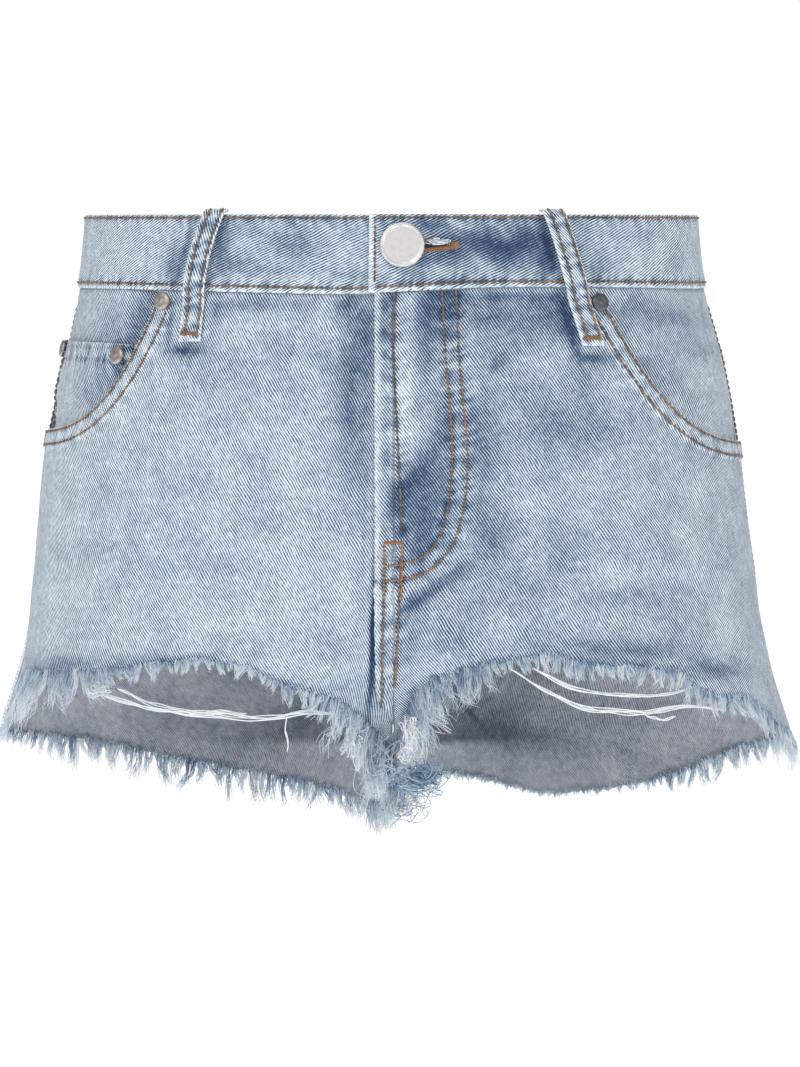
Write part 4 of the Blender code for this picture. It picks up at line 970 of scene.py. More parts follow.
# ------------------------------------------------------------------ back pockets
# A patch pocket on each back, a little narrower at its foot, which comes to a blunt point. Its
# mouth is folded over and its sides are turned in and sewn down in two rows, with plain cloth between.
BACK_POCKET_WIDTH = 0.122
BACK_POCKET_MIDDLE, BACK_POCKET_TOP_Z = 0.079, -0.098
BACK_POCKET_CORNER_Z, BACK_POCKET_POINT_Z = -0.214, -0.232
BACK_POCKET_LIFT, BACK_POCKET_INDIGO = DENIM + 4 * GAP, 0.38
WASH_AND_SHADE["back_pocket_right"] = (
    (-80, -160, 10, 40, 40, -0.10), (-80, -222, 0, 50, 8, 0.12), (-130, -170, 84, 50, 6, 0.12),
    (-28, -170, 96, 50, 6, 0.14),
)
WASH_AND_SHADE["back_pocket_left"] = (
    (82, -164, -10, 40, 40, -0.10), (80, -222, 0, 50, 8, 0.12), (130, -170, 96, 50, 6, 0.12),
    (28, -170, 84, 50, 6, 0.14),
)


def back_pocket_grid(side, rows=84, columns=78):
    """Across by width, which narrows by a tenth, and down to a foot that is a flat V."""
    s = np.linspace(-1, 1, columns)[None, :]
    t = np.linspace(0, 1, rows)[:, None]
    x = BACK_POCKET_MIDDLE + BACK_POCKET_WIDTH / 2 * (1 - 0.10 * t) * s
    foot = BACK_POCKET_POINT_Z + (BACK_POCKET_CORNER_Z - BACK_POCKET_POINT_Z) * np.abs(s)
    top = BACK_POCKET_TOP_Z - 0.010 * s
    z = top + (foot - top) * t
    return z, angle_at(x, z, side * np.linspace(180 - SEAM_ANGLE, 90, 361))


back_pocket_lines = {}


def make_back_pocket(side):
    """Its two rows are so many grid lines in from the sides and the foot, and from the mouth."""
    z, angle = back_pocket_grid(side)
    outer, inner = 2, 7
    lines = []
    for inset in (outer, inner):
        lines += [(z[:, inset], angle[:, inset]), (z[:, -1 - inset], angle[:, -1 - inset]),
                  (z[-1 - inset], angle[-1 - inset])]
    lines.append((z[inner], angle[inner]))
    back_pocket_lines[side] = lines
    plain = plain_body(z, angle)
    worn = [(line, 0.0014, 0.55) for line in (plain[0], plain[-1], plain[:, 0], plain[:, -1])]
    return panel(sided("back_pocket", side), z, angle, BACK_POCKET_LIFT,
                 BACK_POCKET_INDIGO, lines, worn, grain=-8.0)


cloth_back_pocket_right = make_back_pocket(-1)
cloth_back_pocket_left = make_back_pocket(1)

# ------------------------------------------------------------------ waistband
# One strip of denim, doubled over, with its twill running the other way. It starts under the tab,
# goes round by the right side and the back, and ends in the tab, whose buttonhole takes the button.
WAISTBAND_THICKNESS, WAISTBAND_STEP = 0.0026, 0.0008
TAB_LIFT, UNDERLAP_DROP = 0.0016, 0.0014
TAB_END_ANGLE, UNDERLAP_END_ANGLE = -4.3, 12.5
BUTTON_ANGLE, BUTTON_Z = 1.45, -0.0146
BUTTONHOLE_EYE, BUTTONHOLE_HALF_SLOT, BUTTONHOLE_LENGTH = 0.0034, 0.0015, 0.0245
BAND_STITCH_TOP, BAND_STITCH_FOOT = 0.0016, 0.0026
BAND_INDIGO = 0.34
denim_crosswise = dyed_cloth("denim_crosswise", INDIGO_SHADES, 64, 0.58)


def band_lift(turn):
    """How far out the band lies as it goes round: it starts under the tab and ends over it."""
    under = -UNDERLAP_DROP * ease(-16.0, -4.0, turn)
    over = TAB_LIFT * ease(-338.0, -356.0, turn)
    return WAISTBAND_STEP + under + over


def ring_faces(count, around):
    """(the quads that join rings of points one after another, those and the two ends)."""
    index = np.arange(count * around).reshape(count, around)
    near, far = index[:-1], index[1:]
    quads = np.stack([near, far, np.roll(far, -1, 1), np.roll(near, -1, 1)], axis=-1).reshape(-1, 4)
    return quads, quads.tolist() + [index[0].tolist(), index[-1, ::-1].tolist()]


def closed_strip(name, rings, uv, tones, materials):
    """Rings of points joined by quads with both ends filled, turned to face outward."""
    quads, faces = ring_faces(*rings.shape[:2])
    verts = rings.reshape(-1, 3)
    corners = verts[quads]
    span = np.cross(corners[:, 1] - corners[:, 0], corners[:, 3] - corners[:, 0])
    if np.sum(corners[:, 0] * span) < 0:
        faces = [face[::-1] for face in faces]
    tones = {tone: values.ravel() for tone, values in tones.items()}
    return new_object(name, verts, faces, uv.reshape(-1, 2), tones, materials)


def make_waistband():
    """A rounded oblong section carried round the waist: its height runs down the band's plane, and
    its depth goes in along the outward direction. Rows of sewing pucker both edges."""
    turns = np.arange(UNDERLAP_END_ANGLE, TAB_END_ANGLE - 360.01, -0.70)
    turns[-1] = TAB_END_ANGLE - 360
    down = np.concatenate([[0.0, 0.0004, 0.0011], np.linspace(0.0019, 0.0331, 27),
                           [0.0339, 0.0346, 0.0350]]) / WAISTBAND_HEIGHT
    edge = np.minimum(down, 1 - down) * WAISTBAND_HEIGHT
    fold = WAISTBAND_THICKNESS / 2
    rounding = fold * (1 - np.sqrt(1 - np.clip(1 - edge / fold, 0, 1) ** 2))
    back_down = np.array([0.985, 0.9, 0.7, 0.5, 0.3, 0.1, 0.015])
    share = np.concatenate([down, back_down])[None, :]
    inward = np.concatenate([rounding, WAISTBAND_THICKNESS - 0.0002 + 0 * back_down])[None, :]
    angle = ((turns + 180) % 360 - 180)[:, None]
    z = top_z(angle) + (waist_seam_z(angle) - top_z(angle)) * share
    angle = angle + 0 * share
    level = np.radians(turns)[:, None] * -0.155 + 0 * share
    height = share * WAISTBAND_HEIGHT + 0 * level
    outside = (np.arange(share.size) < len(down))[None, :]
    relief, tone = np.zeros(z.shape), np.zeros(z.shape)
    # The rows' tones are painted shade in their grooves and in the hollows of their waves, with rope wear
    # on the ridges.
    for seed, row in enumerate((BAND_STITCH_TOP, WAISTBAND_HEIGHT - BAND_STITCH_FOOT)):
        made = sewn_row(np.abs(height - row), level, seed * 2.0)
        relief, tone = relief + made[0] * outside, tone + made[1] * outside
    foot = bell(height - WAISTBAND_HEIGHT, 0.0016)
    rope = np.sin(level * 830 + 1.6 * np.sin(level * 170)) * foot
    relief += 0.00025 * rope * outside
    plain = plain_body(z, angle)
    # Wash and painted shade: among the table's rows here are painted shadows left of the front belt loops.
    indigo_and_shade = BAND_INDIGO + tone + bells(plain * 1000, WASH_AND_SHADE["waistband"], np.abs(angle) < 90)
    indigo_and_shade += 0.07 * np.sin(level * 47) * np.sin(level * 23 + 2) * (np.abs(angle) > 88)
    past_tab = np.abs(turns - turns[-1])[:, None] / 360
    wear = 0.80 * foot * (0.70 + 0.40 * rope) + 0.40 * bell(height, 0.0012)
    wear += 1.1 * bell(past_tab, 0.0019) * outside
    out = band_lift(turns)[:, None] - inward + relief
    rings = body(z, angle, out, creased=False)
    uv = np.stack([-level, z], axis=-1)
    return closed_strip("cloth_waistband", rings, uv, {"indigo_and_shade": indigo_and_shade, "wear": wear},
                        [denim_crosswise])


def standing_on(z, angle, out):
    """(place, right, up, off) on the cloth: its point, level and upward directions and normal."""
    place = body(z, angle, out)
    off = outward(np.asarray(z, float), np.asarray(angle, float))
    right = unit(np.cross([0.0, 0.0, 1.0], off))
    return place, right, np.cross(off, right), off


def cut_buttonhole(band):
    """A keyhole through the tab: a round eye for the shank and a slot towards the side."""
    depth, halfway = 0.0027, BUTTONHOLE_LENGTH * 0.5
    sweep = np.radians(np.linspace(19, 341, 40))
    outline = np.array([(BUTTONHOLE_EYE * math.cos(a), BUTTONHOLE_EYE * math.sin(a)) for a in sweep]
                       + [(halfway, -BUTTONHOLE_HALF_SLOT), (BUTTONHOLE_LENGTH, 0.0),
                          (halfway, BUTTONHOLE_HALF_SLOT)])
    place, right, up, off = standing_on(BUTTON_Z, BUTTON_ANGLE,
                                        WAISTBAND_STEP + TAB_LIFT - WAISTBAND_THICKNESS / 2)
    ring = place + outline[:, :1] * right + outline[:, 1:] * up
    rings = np.stack([ring - off * depth, ring + off * depth])
    cutter = closed_strip("buttonhole_cutter", rings, np.zeros((2, len(outline), 2)),
                          {"indigo_and_shade": np.full((2, len(outline)), 0.2),
                           "wear": np.full((2, len(outline)), 0.4)}, [denim_crosswise])
    cut = band.modifiers.new("buttonhole", "BOOLEAN")
    cut.object = cutter
    cut.operation = "DIFFERENCE"
    cut.solver = "MANIFOLD"
    shown = band.evaluated_get(bpy.context.evaluated_depsgraph_get())
    mesh = bpy.data.meshes.new_from_object(shown)
    band.modifiers.clear()
    band.data = mesh
    bpy.data.objects.remove(cutter)
    return band


cloth_waistband = cut_buttonhole(make_waistband())
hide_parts("waistband")
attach(cloth_waistband, "root")

# ------------------------------------------------------------------ belt loops
# Five narrow strips, folded to 11 mm and sewn along both edges. Each goes over the waistband's top
# edge, stands off it in a low bow, and is turned under and tacked down below it.
LOOP_WIDTH, LOOP_THICKNESS, LOOP_BULGE = 0.0110, 0.0017, 0.0026
# Each loop: the angles of its top and its foot, how far it hangs below the band, and its bow.
LOOPS = (
    ("front_right", -32.6, -35.2, 0.0235, -0.0025),
    ("front_left", 29.3, 34.2, 0.0275, 0.0),
    ("back_right", -122.0, -121.0, 0.0245, 0.0),
    ("back_left", 122.0, 121.0, 0.0245, 0.0),
    ("back_centre", 180.0, 180.0, 0.0245, 0.0),
)
LOOP_ROWS = (-0.0022, 0.0039)
loop_threads = []
loop_tacks = []


def make_belt_loop(name, top_angle, foot_angle, drop, bow):
    """A middle line in the strip's own plane, over the band's edge, out by a sine and down to the
    foot, thickened to both sides of it and carried across the width, with soft edges."""
    foot_z = float(waist_seam_z(foot_angle)) - drop
    upper_z = float(top_z(top_angle))
    top = body(upper_z, top_angle, WAISTBAND_STEP, creased=False)
    foot = body(foot_z, foot_angle, 0.0, creased=False)
    length = np.linalg.norm(foot - top)
    down = (foot - top) / length
    out = outward(np.array((upper_z + foot_z) / 2), np.array((top_angle + foot_angle) / 2))
    out = unit(out - down * out.dot(down))
    level = unit(np.array([-out[1], out[0], 0.0]))
    f = np.linspace(0, 1, 25)
    z, angle = upper_z + (foot_z - upper_z) * f, top_angle + (foot_angle - top_angle) * f
    step = np.where(z > waist_seam_z(angle) - 0.002, WAISTBAND_STEP, 0.0)
    under = (body(z, angle, step, creased=False) - top) @ out
    band_share = WAISTBAND_HEIGHT / (WAISTBAND_HEIGHT + drop)
    arch = LOOP_BULGE * np.sin(math.pi * np.clip(f / (band_share + 0.10), 0, 1)) ** 0.8
    inside = under + 3 * GAP + arch
    half = LOOP_THICKNESS / 2
    start = -3 * GAP - half
    outs = np.concatenate([[-WAISTBAND_THICKNESS + GAP, -0.0006, inside[0] - 0.1 * half],
                           inside[1:] + half])
    downs = np.concatenate([[start, start, start + 0.5 * half], length * f[1:]])
    if name.startswith("back"):
        outs, downs = inside + half, length * (0.02 + 0.98 * f)
    stations = np.concatenate([[0], np.cumsum(np.hypot(np.diff(outs), np.diff(downs)))])
    at = np.linspace(0, stations[-1], 92)
    o, d = smooth(at, stations, outs), smooth(at, stations, downs)
    normal = unit(np.stack([np.gradient(d), -np.gradient(o)], axis=-1))
    thick = half * (1 + 0.45 * ease(stations[-1] - 0.0075, stations[-1] - 0.0065, at))
    w = np.linspace(-1, 1, 23)
    edge = np.sqrt(np.clip(1 - np.clip((np.abs(w) - 0.86) / 0.14, 0, 1) ** 2, 0, 1))
    across = np.concatenate([w, w[-2:0:-3]])
    face = np.concatenate([edge, -edge[-2:0:-3]])
    aside = across * LOOP_WIDTH / 2
    relief, tone = np.zeros((92, len(across))), np.zeros((92, len(across)))
    # Each row's tone is painted shade in its groove and in the hollows of its waves, with rope wear on the
    # ridges.
    for seed, row in enumerate(LOOP_ROWS):
        made = sewn_row(np.abs(aside - row)[None, :], at[:, None], seed + top_angle)
        relief, tone = relief + made[0] * (face > 0), tone + made[1] * (face > 0)
    depth = thick[:, None] * face + relief
    bowed = bow * np.sin(math.pi * np.clip(d / length, 0, 1))[:, None]
    slant = 1 / math.sqrt(1 - level.dot(down) ** 2)
    rings = (top + out * (o[:, None] + normal[:, :1] * depth)[..., None]
             + down * (d[:, None] + normal[:, 1:] * depth)[..., None]
             + level * (bowed + aside * slant)[..., None])
    frayed = 0.8 + 0.3 * np.sin(at * 1700 + top_angle) * np.sin(at * 620)
    wear = 0.80 * bell(np.abs(across) - 1, 0.20) * frayed[:, None] + 0 * depth
    wear += 0.5 * bell(at - 0.0022, 0.0016)[:, None]
    wear += 0.85 * bell(at - stations[-1], 0.0019)[:, None]
    uv = np.stack([aside + 0 * depth, -at[:, None] + 0 * depth], axis=-1) + [top_angle * 0.001, 0]
    loop = closed_strip("cloth_belt_loop_" + name, rings, uv,
                        {"indigo_and_shade": 0.40 + tone, "wear": wear}, [denim_loop])
    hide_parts("belt_loop_" + name)
    middle = (top + out * (o + normal[:, 0] * thick)[:, None]
              + down * (d + normal[:, 1] * thick)[:, None] + level * bowed)
    off = out * normal[:, :1] + down * normal[:, 1:]
    run = (at > 0.0016) & (at < stations[-1] - 0.0008)
    for row in LOOP_ROWS:
        loop_threads.append((middle[run] + level * row * slant, off[run]))
    i = int(np.argmin(np.abs(at - stations[-1] + 0.0036)))
    loop_tacks.append((middle[i], level * slant, off[i]))
    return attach(loop, "root")


denim_loop = dyed_cloth("denim_loop", INDIGO_SHADES, -32, 0.50)
belt_loops = [make_belt_loop(*row) for row in LOOPS]

# ------------------------------------------------------------------ button and rivets
# A shank button with a flat, bare cap and a rolled rim, pressed through the buttonhole, and four
# small domed rivets hammered through the corners of the front pockets and the coin pocket.
BUTTON_RADIUS, RIVET_RADIUS, RIVET_HEIGHT = 0.0104, 0.0043, 0.0016


def turned_metal(name, profile, place, steps, material):
    """A profile of (radius, height) turned round the outward direction at a place on the cloth."""
    middle, right, up, off = place
    radius, height = np.array(profile).T
    turn = np.linspace(0, 2 * math.pi, steps, endpoint=False)[None, :]
    rings = (middle + off * height[:, None, None]
             + right * (radius[:, None] * np.cos(turn))[..., None]
             + up * (radius[:, None] * np.sin(turn))[..., None])
    uv = np.stack([radius[:, None] * np.cos(turn), radius[:, None] * np.sin(turn)], axis=-1)
    faces = ring_faces(len(radius), steps)[1]
    return new_object(name, rings.reshape(-1, 3), faces, uv.reshape(-1, 2), {}, [material])


def metal_finish(name, bright, dull, roughness, scratch):
    """Cast metal: fine noise for the brushing, and a wider one for patches of tarnish."""
    material, tree, shader = new_material(name)
    mm = times(tree, place_in_cloth(tree), (1000, 1000, 0))
    tarnish = add_node(tree, "Group", {"Place": mm}, node_tree=tarnish_group).outputs
    tint = add_node(tree, "Mix", {"Factor": tarnish["Dull"]}, data_type="RGBA")
    tint.inputs["A"].default_value = linear(*bright)
    tint.inputs["B"].default_value = linear(*dull)
    bump = add_node(tree, "Bump", {"Height": tarnish["Height"], "Distance": scratch, "Strength": 0.6})
    fill_inputs(tree, shader, {
        "Base Color": tint.outputs["Result"], "Normal": bump.outputs["Normal"], "Metallic": 1.0,
        "Roughness": reckon(tree, "MULTIPLY_ADD", tarnish["Dull"], 0.22, roughness)})
    return material


tarnish_group, tarnish_given, tarnish_out = new_group(
    "tarnish", (("Place", "Vector"),), (("Dull", "Float"), ("Height", "Float")))
tarnish_wide = noise(tarnish_group, tarnish_given["Place"], 0.30, 2.0)
tarnish_fine = noise(tarnish_group, tarnish_given["Place"], 3.0, 2.0, (1.0, 3.0, 1.0))
finish_group(tarnish_group, tarnish_out,
             Dull=reckon(tarnish_group, "MULTIPLY_ADD", tarnish_wide, 1.5,
                         reckon(tarnish_group, "MULTIPLY_ADD", tarnish_fine, 0.5, 0.45)),
             Height=tarnish_fine)
button_metal = metal_finish("button_metal", (224, 222, 221), (196, 193, 191), 0.36, 0.00001)
rivet_bright = metal_finish("rivet_bright", (205, 199, 193), (120, 114, 110), 0.36, 0.00003)
rivet_dark = metal_finish("rivet_dark", (122, 122, 126), (66, 68, 74), 0.34, 0.00003)
CAP_FOOT, CAP_HEIGHT, SHANK_RADIUS = 0.0005, 0.0024, 0.0025
r, cap_top = BUTTON_RADIUS, CAP_FOOT + CAP_HEIGHT
button_profile = (
    (0.0004, cap_top - 0.00022), (0.40 * r, cap_top - 0.00022), (0.78 * r, cap_top - 0.00024),
    (0.835 * r, cap_top - 0.00026), (0.855 * r, cap_top - 0.00012), (0.88 * r, cap_top),
    (0.92 * r, cap_top + 0.00002), (0.955 * r, cap_top - 0.00012), (0.985 * r, cap_top - 0.0004),
    (r, CAP_FOOT + 0.60 * CAP_HEIGHT), (0.995 * r, CAP_FOOT + 0.35 * CAP_HEIGHT),
    (0.97 * r, CAP_FOOT + 0.14 * CAP_HEIGHT), (0.90 * r, CAP_FOOT), (0.5 * r, CAP_FOOT),
    (SHANK_RADIUS, CAP_FOOT), (SHANK_RADIUS, -0.0020), (0.0004, -0.0020),
)
metal_button = turned_metal("metal_button", button_profile,
                            standing_on(BUTTON_Z, BUTTON_ANGLE, WAISTBAND_STEP + TAB_LIFT), 96,
                            button_metal)
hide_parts("button")
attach(metal_button, "root")
RIVETS = (
    ("pocket_right", -0.0392, -SCOOPS[-1][0] + 1.2, rivet_bright),
    ("pocket_left", -0.0402, SCOOPS[1][0] - 0.2, rivet_dark),
    ("coin_inner", COIN_TOP_Z[0] - 0.0052, -COIN_ANGLES[0] - 3.6, rivet_bright),
    ("coin_outer", COIN_TOP_Z[1] - 0.0044, -COIN_ANGLES[1] + 2.6, rivet_bright),
)
r, h = RIVET_RADIUS, RIVET_HEIGHT
rivet_profile = (
    (0.0002, h + 0.0001), (0.10 * r, h + 0.00008), (0.18 * r, h - 0.0001), (0.30 * r, h - 0.00014),
    (0.50 * r, h - 0.0001), (0.68 * r, h - 0.00012), (0.82 * r, 0.78 * h), (0.93 * r, 0.60 * h),
    (r, 0.35 * h), (0.98 * r, 0.12 * h), (0.94 * r, -0.0002), (0.0002, -0.0002),
)
for name, z, angle, metal in RIVETS:
    on_coin_pocket = float(coin_lift(np.array(z), np.array(angle)))
    lift = 2 * GAP + (on_coin_pocket + GAP if "coin" in name else FOLD_LIFT)
    rivet = turned_metal("metal_rivet_" + name, rivet_profile, standing_on(z, angle, lift), 48,
                         metal)
    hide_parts("rivet_" + name)
    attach(rivet, "root")

# ------------------------------------------------------------------ sewing
# Thick lockstitch in brown and golden cotton, 3 mm to a stitch: twin rows on the scoops, the fly,
# the yokes, the seat and the pockets, one along each edge of the band, and tight tacks at the ends.
STITCH_LENGTH, STITCH_GAP, STITCH_RISE, STITCH_SINK = 0.0026, 0.0004, 0.00042, 0.00028
THREAD_RADIUS, COIN_THREAD_RADIUS, TACK_THREAD_RADIUS, TACK_PITCH = 0.00060, 0.00040, 0.00028, 0.0006
WHIP_PITCH, WHIP_THREAD_RADIUS = 0.00076, 0.00032
THREAD_SHADES = ((84, 70, 58), (156, 122, 88), (198, 126, 60))
BROWN, GOLDEN, ORANGE = 0.15, 0.55, 1.0


def tubes(centres, ups, radii, tones, sides):
    """Many short tubes at once. centres is (tubes, rings, 3): each ring turns round its centre in
    the plane across the line, by cosine along the level side and sine along the up side."""
    count, rings = centres.shape[:2]
    tangent = np.gradient(centres, axis=1)
    side = unit(np.cross(tangent, ups))
    up = unit(np.cross(side, tangent))
    turn = np.linspace(0, 2 * math.pi, sides, endpoint=False)
    ring = side[:, :, None] * np.cos(turn)[:, None] + up[:, :, None] * np.sin(turn)[:, None]
    verts = centres[:, :, None] + ring * np.asarray(radii)[:, :, None, None]
    index = np.arange(count * rings * sides).reshape(count, rings, sides)
    near, far = index[:, :-1], index[:, 1:]
    quads = np.stack([near, np.roll(near, -1, 2), np.roll(far, -1, 2), far], axis=-1)
    caps = [index[:, 0, ::-1].reshape(-1, sides), index[:, -1].reshape(-1, sides)]
    faces = quads.reshape(-1, 4).tolist() + caps[0].tolist() + caps[1].tolist()
    length = np.cumsum(np.linalg.norm(tangent, axis=-1), axis=1)[:, :, None] + 0 * turn
    uv = np.stack([turn / (2 * math.pi) + 0 * length, length], axis=-1).reshape(-1, 2)
    tone = np.broadcast_to(np.asarray(tones)[..., None], index.shape).reshape(-1)
    return verts.reshape(-1, 3), faces, uv, tone


def thread_mesh(name, parts, sides, material):
    """One mesh of many threads, each part being tubes' centres, ups, radii and tones."""
    made = [tubes(*part, sides) for part in parts]
    shift = np.cumsum([0] + [len(verts) for verts, _, _, _ in made])
    faces = [[corner + start for corner in face]
             for start, (_, some, _, _) in zip(shift, made) for face in some]
    verts, uv, tone = (np.concatenate([part[i] for part in made]) for i in (0, 2, 3))
    return new_object(name, verts, faces, uv, {"tone": tone}, [material])


def stitched(points, normals, length=STITCH_LENGTH, gap=STITCH_GAP, radius=THREAD_RADIUS):
    """A row of stitches along a line: the centre of each rises out of its hole and sinks into the
    next by the 0.6 power of a sine, and it is thinner at both ends."""
    total = lengths_along(points)
    count = max(1, int((total[-1] + gap) // (length + gap)))
    t = np.array([0.0, 0.16, 0.5, 0.84, 1.0])
    at = np.arange(count)[:, None] * (length + gap) + length * t
    centres = np.stack([np.interp(at, total, column) for column in points.T], axis=-1)
    ups = np.stack([np.interp(at, total, column) for column in normals.T], axis=-1)
    rise = np.sin(math.pi * np.clip(t, 0.001, 0.999)) ** 0.6
    centres = centres + ups * (rise * STITCH_RISE - STITCH_SINK)[None, :, None]
    return centres, ups, np.broadcast_to(radius * (0.45 + 0.55 * rise), at.shape)


def sewing_thread():
    """Mercerised cotton: its plies are a sine round and along the thread, its colour runs from
    brown to orange by tone, with soft noise that is wear and painted golden highlight both."""
    material, tree, shader = new_material("sewing_thread")
    plies = add_node(tree, "Group", {"Thread": place_in_cloth(tree)}, node_tree=ply_twist).outputs
    tone = reckon(tree, "ADD", point_tone(tree, "tone"), plies["Worn"])
    bump = add_node(tree, "Bump", {"Height": plies["Height"], "Distance": 0.00012})
    fill_inputs(tree, shader, {
        "Base Color": shade_ramp(tree, tone, THREAD_SHADES, (0.0, 0.5, 1.0)),
        "Normal": bump.outputs["Normal"], "Roughness": 0.62, "Sheen Weight": 0.2})
    return material


ply_twist, ply_given, ply_out = new_group(
    "ply_twist", (("Thread", "Vector"),), (("Worn", "Float"), ("Height", "Float")))
ply_parts = add_node(ply_twist, "SeparateXYZ", {0: ply_given["Thread"]})
ply_turn = reckon(ply_twist, "MULTIPLY_ADD", ply_parts.outputs[1], 1100.0, ply_parts.outputs[0])
ply_wave = reckon(ply_twist, "SINE", reckon(ply_twist, "MULTIPLY", ply_turn, 4 * math.pi))
ply_place = times(ply_twist, add_node(ply_twist, "TexCoord").outputs["Object"], (1000, 1000, 1000))
# Soft patches of thread tone, which are wear and painted golden highlight both.
ply_patches = add_node(ply_twist, "TexNoise", {"Vector": ply_place, "Scale": 0.22, "Detail": 2.0})
ply_wear_and_highlight = reckon(ply_twist, "SUBTRACT", ply_patches.outputs["Fac"], 0.5)
finish_group(ply_twist, ply_out, Worn=reckon(ply_twist, "MULTIPLY", ply_wear_and_highlight, 0.9), Height=ply_wave)
thread_cotton = sewing_thread()


def on_cloth(line, out):
    """A line's points and outward directions at a distance off the figure."""
    z, angle = evenly(*line, 0.0010)
    lift = out(z, angle) if callable(out) else out
    return body(z, angle, lift), outward(z, angle)


def sew(name, rows):
    """All the rows of stitches in one place, as five-sided tubes."""
    seam = thread_mesh(name, rows, 5, thread_cotton)
    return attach(seam, "root")


def row_of(points, normals, tone, **sizes):
    """A row of stitches whose tone comes and goes along it, by two sines, which are wear and
    painted golden highlight both.
    """
    centres, ups, radii = stitched(points, normals, **sizes)
    at = np.arange(len(radii))
    # Painted golden highlights and uneven wear along the row.
    worn = 0.14 * np.sin(at * 0.23 + tone * 9) + 0.10 * np.sin(at * 1.9)
    return centres, ups, radii, tone + worn[:, None] + 0 * radii


def sewn(lines, out, tone, **sizes):
    """A row of stitches along each line, at a distance off the figure."""
    return [row_of(*on_cloth(line, out), tone, **sizes) for line in lines]


def tack(place, level, off, width, height, tone=ORANGE):
    """A bar tack: a row of short upright stitches side by side, uneven in height and in wear."""
    up = np.cross(off, level)
    passes = np.arange(round(width / TACK_PITCH)) - round(width / TACK_PITCH) / 2
    t = np.linspace(-0.5, 0.5, 5)[None, :]
    tall = height * (1 + 0.25 * np.sin(passes * 2.3))[:, None]
    centres = (place + level * (passes[:, None] * TACK_PITCH + t * 0.0005)[..., None]
               + up * (t * tall)[..., None]
               + off * (0.00026 - 0.0004 * np.abs(t * 2) ** 4 + 0 * tall)[..., None])
    radii = np.full(centres.shape[:2], TACK_THREAD_RADIUS)
    tones = np.clip(tone - 0.15 * (1 + np.sin(passes * 1.7))[:, None] + 0 * radii, 0, 1)
    return centres, np.broadcast_to(off, centres.shape), radii, tones


def left_front_out(z, angle):
    return lap_offset(1, z, angle)


FLY_TACK_X, FLY_TACK_Z = -0.0003, -0.1512
FLY_BOX = (((-0.0044, -0.1510), (-0.0044, -0.1620), (-0.0046, -0.1785)),
           ((0.0038, -0.1510), (0.0038, -0.1620), (0.0034, -0.1785)))
fly_rows = sewn(fly_lines[:1], left_front_out, BROWN)
fly_rows += sewn(fly_lines[1:], left_front_out, GOLDEN - 0.17)
fly_rows += sewn(centre_lines, left_front_out, BROWN + 0.25)
fly_rows += sewn([front_line(places) for places in FLY_BOX], left_front_out, GOLDEN + 0.1)
tack_angle = angle_at(abs(FLY_TACK_X), FLY_TACK_Z, np.linspace(0, 40, 321))
place, right, up, off = standing_on(FLY_TACK_Z, tack_angle, LAP_LIFT)
fly_rows.append(tack(place, right, off, 0.0088, 0.0014))
sewing_fly = sew("sewing_fly", fly_rows)

pocket_rows = []
for side in (-1, 1):
    pocket_rows += sewn(scoop_lines[side], FOLD_LIFT, BROWN + 0.16)
pocket_rows += sewn(coin_lines, coin_lift, BROWN, radius=COIN_THREAD_RADIUS)
for z, angle in ((-0.1012, -86.5), (-0.1066, 86.8)):
    place, right, up, off = standing_on(z, angle, FOLD_LIFT)
    pocket_rows.append(tack(place, up, off, 0.0080, 0.0016, BROWN))
sewing_pockets = sew("sewing_pockets", pocket_rows)

back_rows = []
for side in (-1, 1):
    back_rows += sewn(yoke_lines[side], FOLD_LIFT, BROWN + 0.2)
    back_rows += sewn([side_lines[side]], -0.0004, BROWN + 0.1)
    back_rows += sewn(back_pocket_lines[side], BACK_POCKET_LIFT, BROWN + 0.2)
    z, angle = back_pocket_grid(side, 9, 9)
    for corner in (1, -2):
        place, right, up, off = standing_on(z[0, corner] - 0.004, angle[0, corner],
                                            BACK_POCKET_LIFT)
        back_rows.append(tack(place, up, off, 0.0070, 0.0018, GOLDEN))
back_rows += sewn(seat_lines, 0.0, BROWN + 0.2)
sewing_back = sew("sewing_back", back_rows)

band_turns = np.linspace(TAB_END_ANGLE - 0.5, TAB_END_ANGLE - 359.2, 1400)
band_angle = (band_turns + 180) % 360 - 180
band_rows = []
for down in (BAND_STITCH_TOP / WAISTBAND_HEIGHT, 1 - BAND_STITCH_FOOT / WAISTBAND_HEIGHT):
    z = top_z(band_angle) + (waist_seam_z(band_angle) - top_z(band_angle)) * down
    points = body(z, band_angle, band_lift(band_turns), creased=False)
    band_rows.append(row_of(points, outward(z, band_angle), BROWN + 0.10))
tab_z = np.linspace(-0.0020, -0.0335, 40)
tab_angle = TAB_END_ANGLE + 1.05 + 0 * tab_z
band_rows.append(row_of(body(tab_z, tab_angle, WAISTBAND_STEP + TAB_LIFT, creased=False),
                        outward(tab_z, tab_angle), BROWN + 0.15))
sewing_band = sew("sewing_band", band_rows)

loop_rows = [row_of(points, normals, BROWN + 0.20) for points, normals in loop_threads]
loop_rows += [tack(*where, 0.0086, 0.0020, GOLDEN + 0.15) for where in loop_tacks]
sew("sewing_loops", loop_rows)


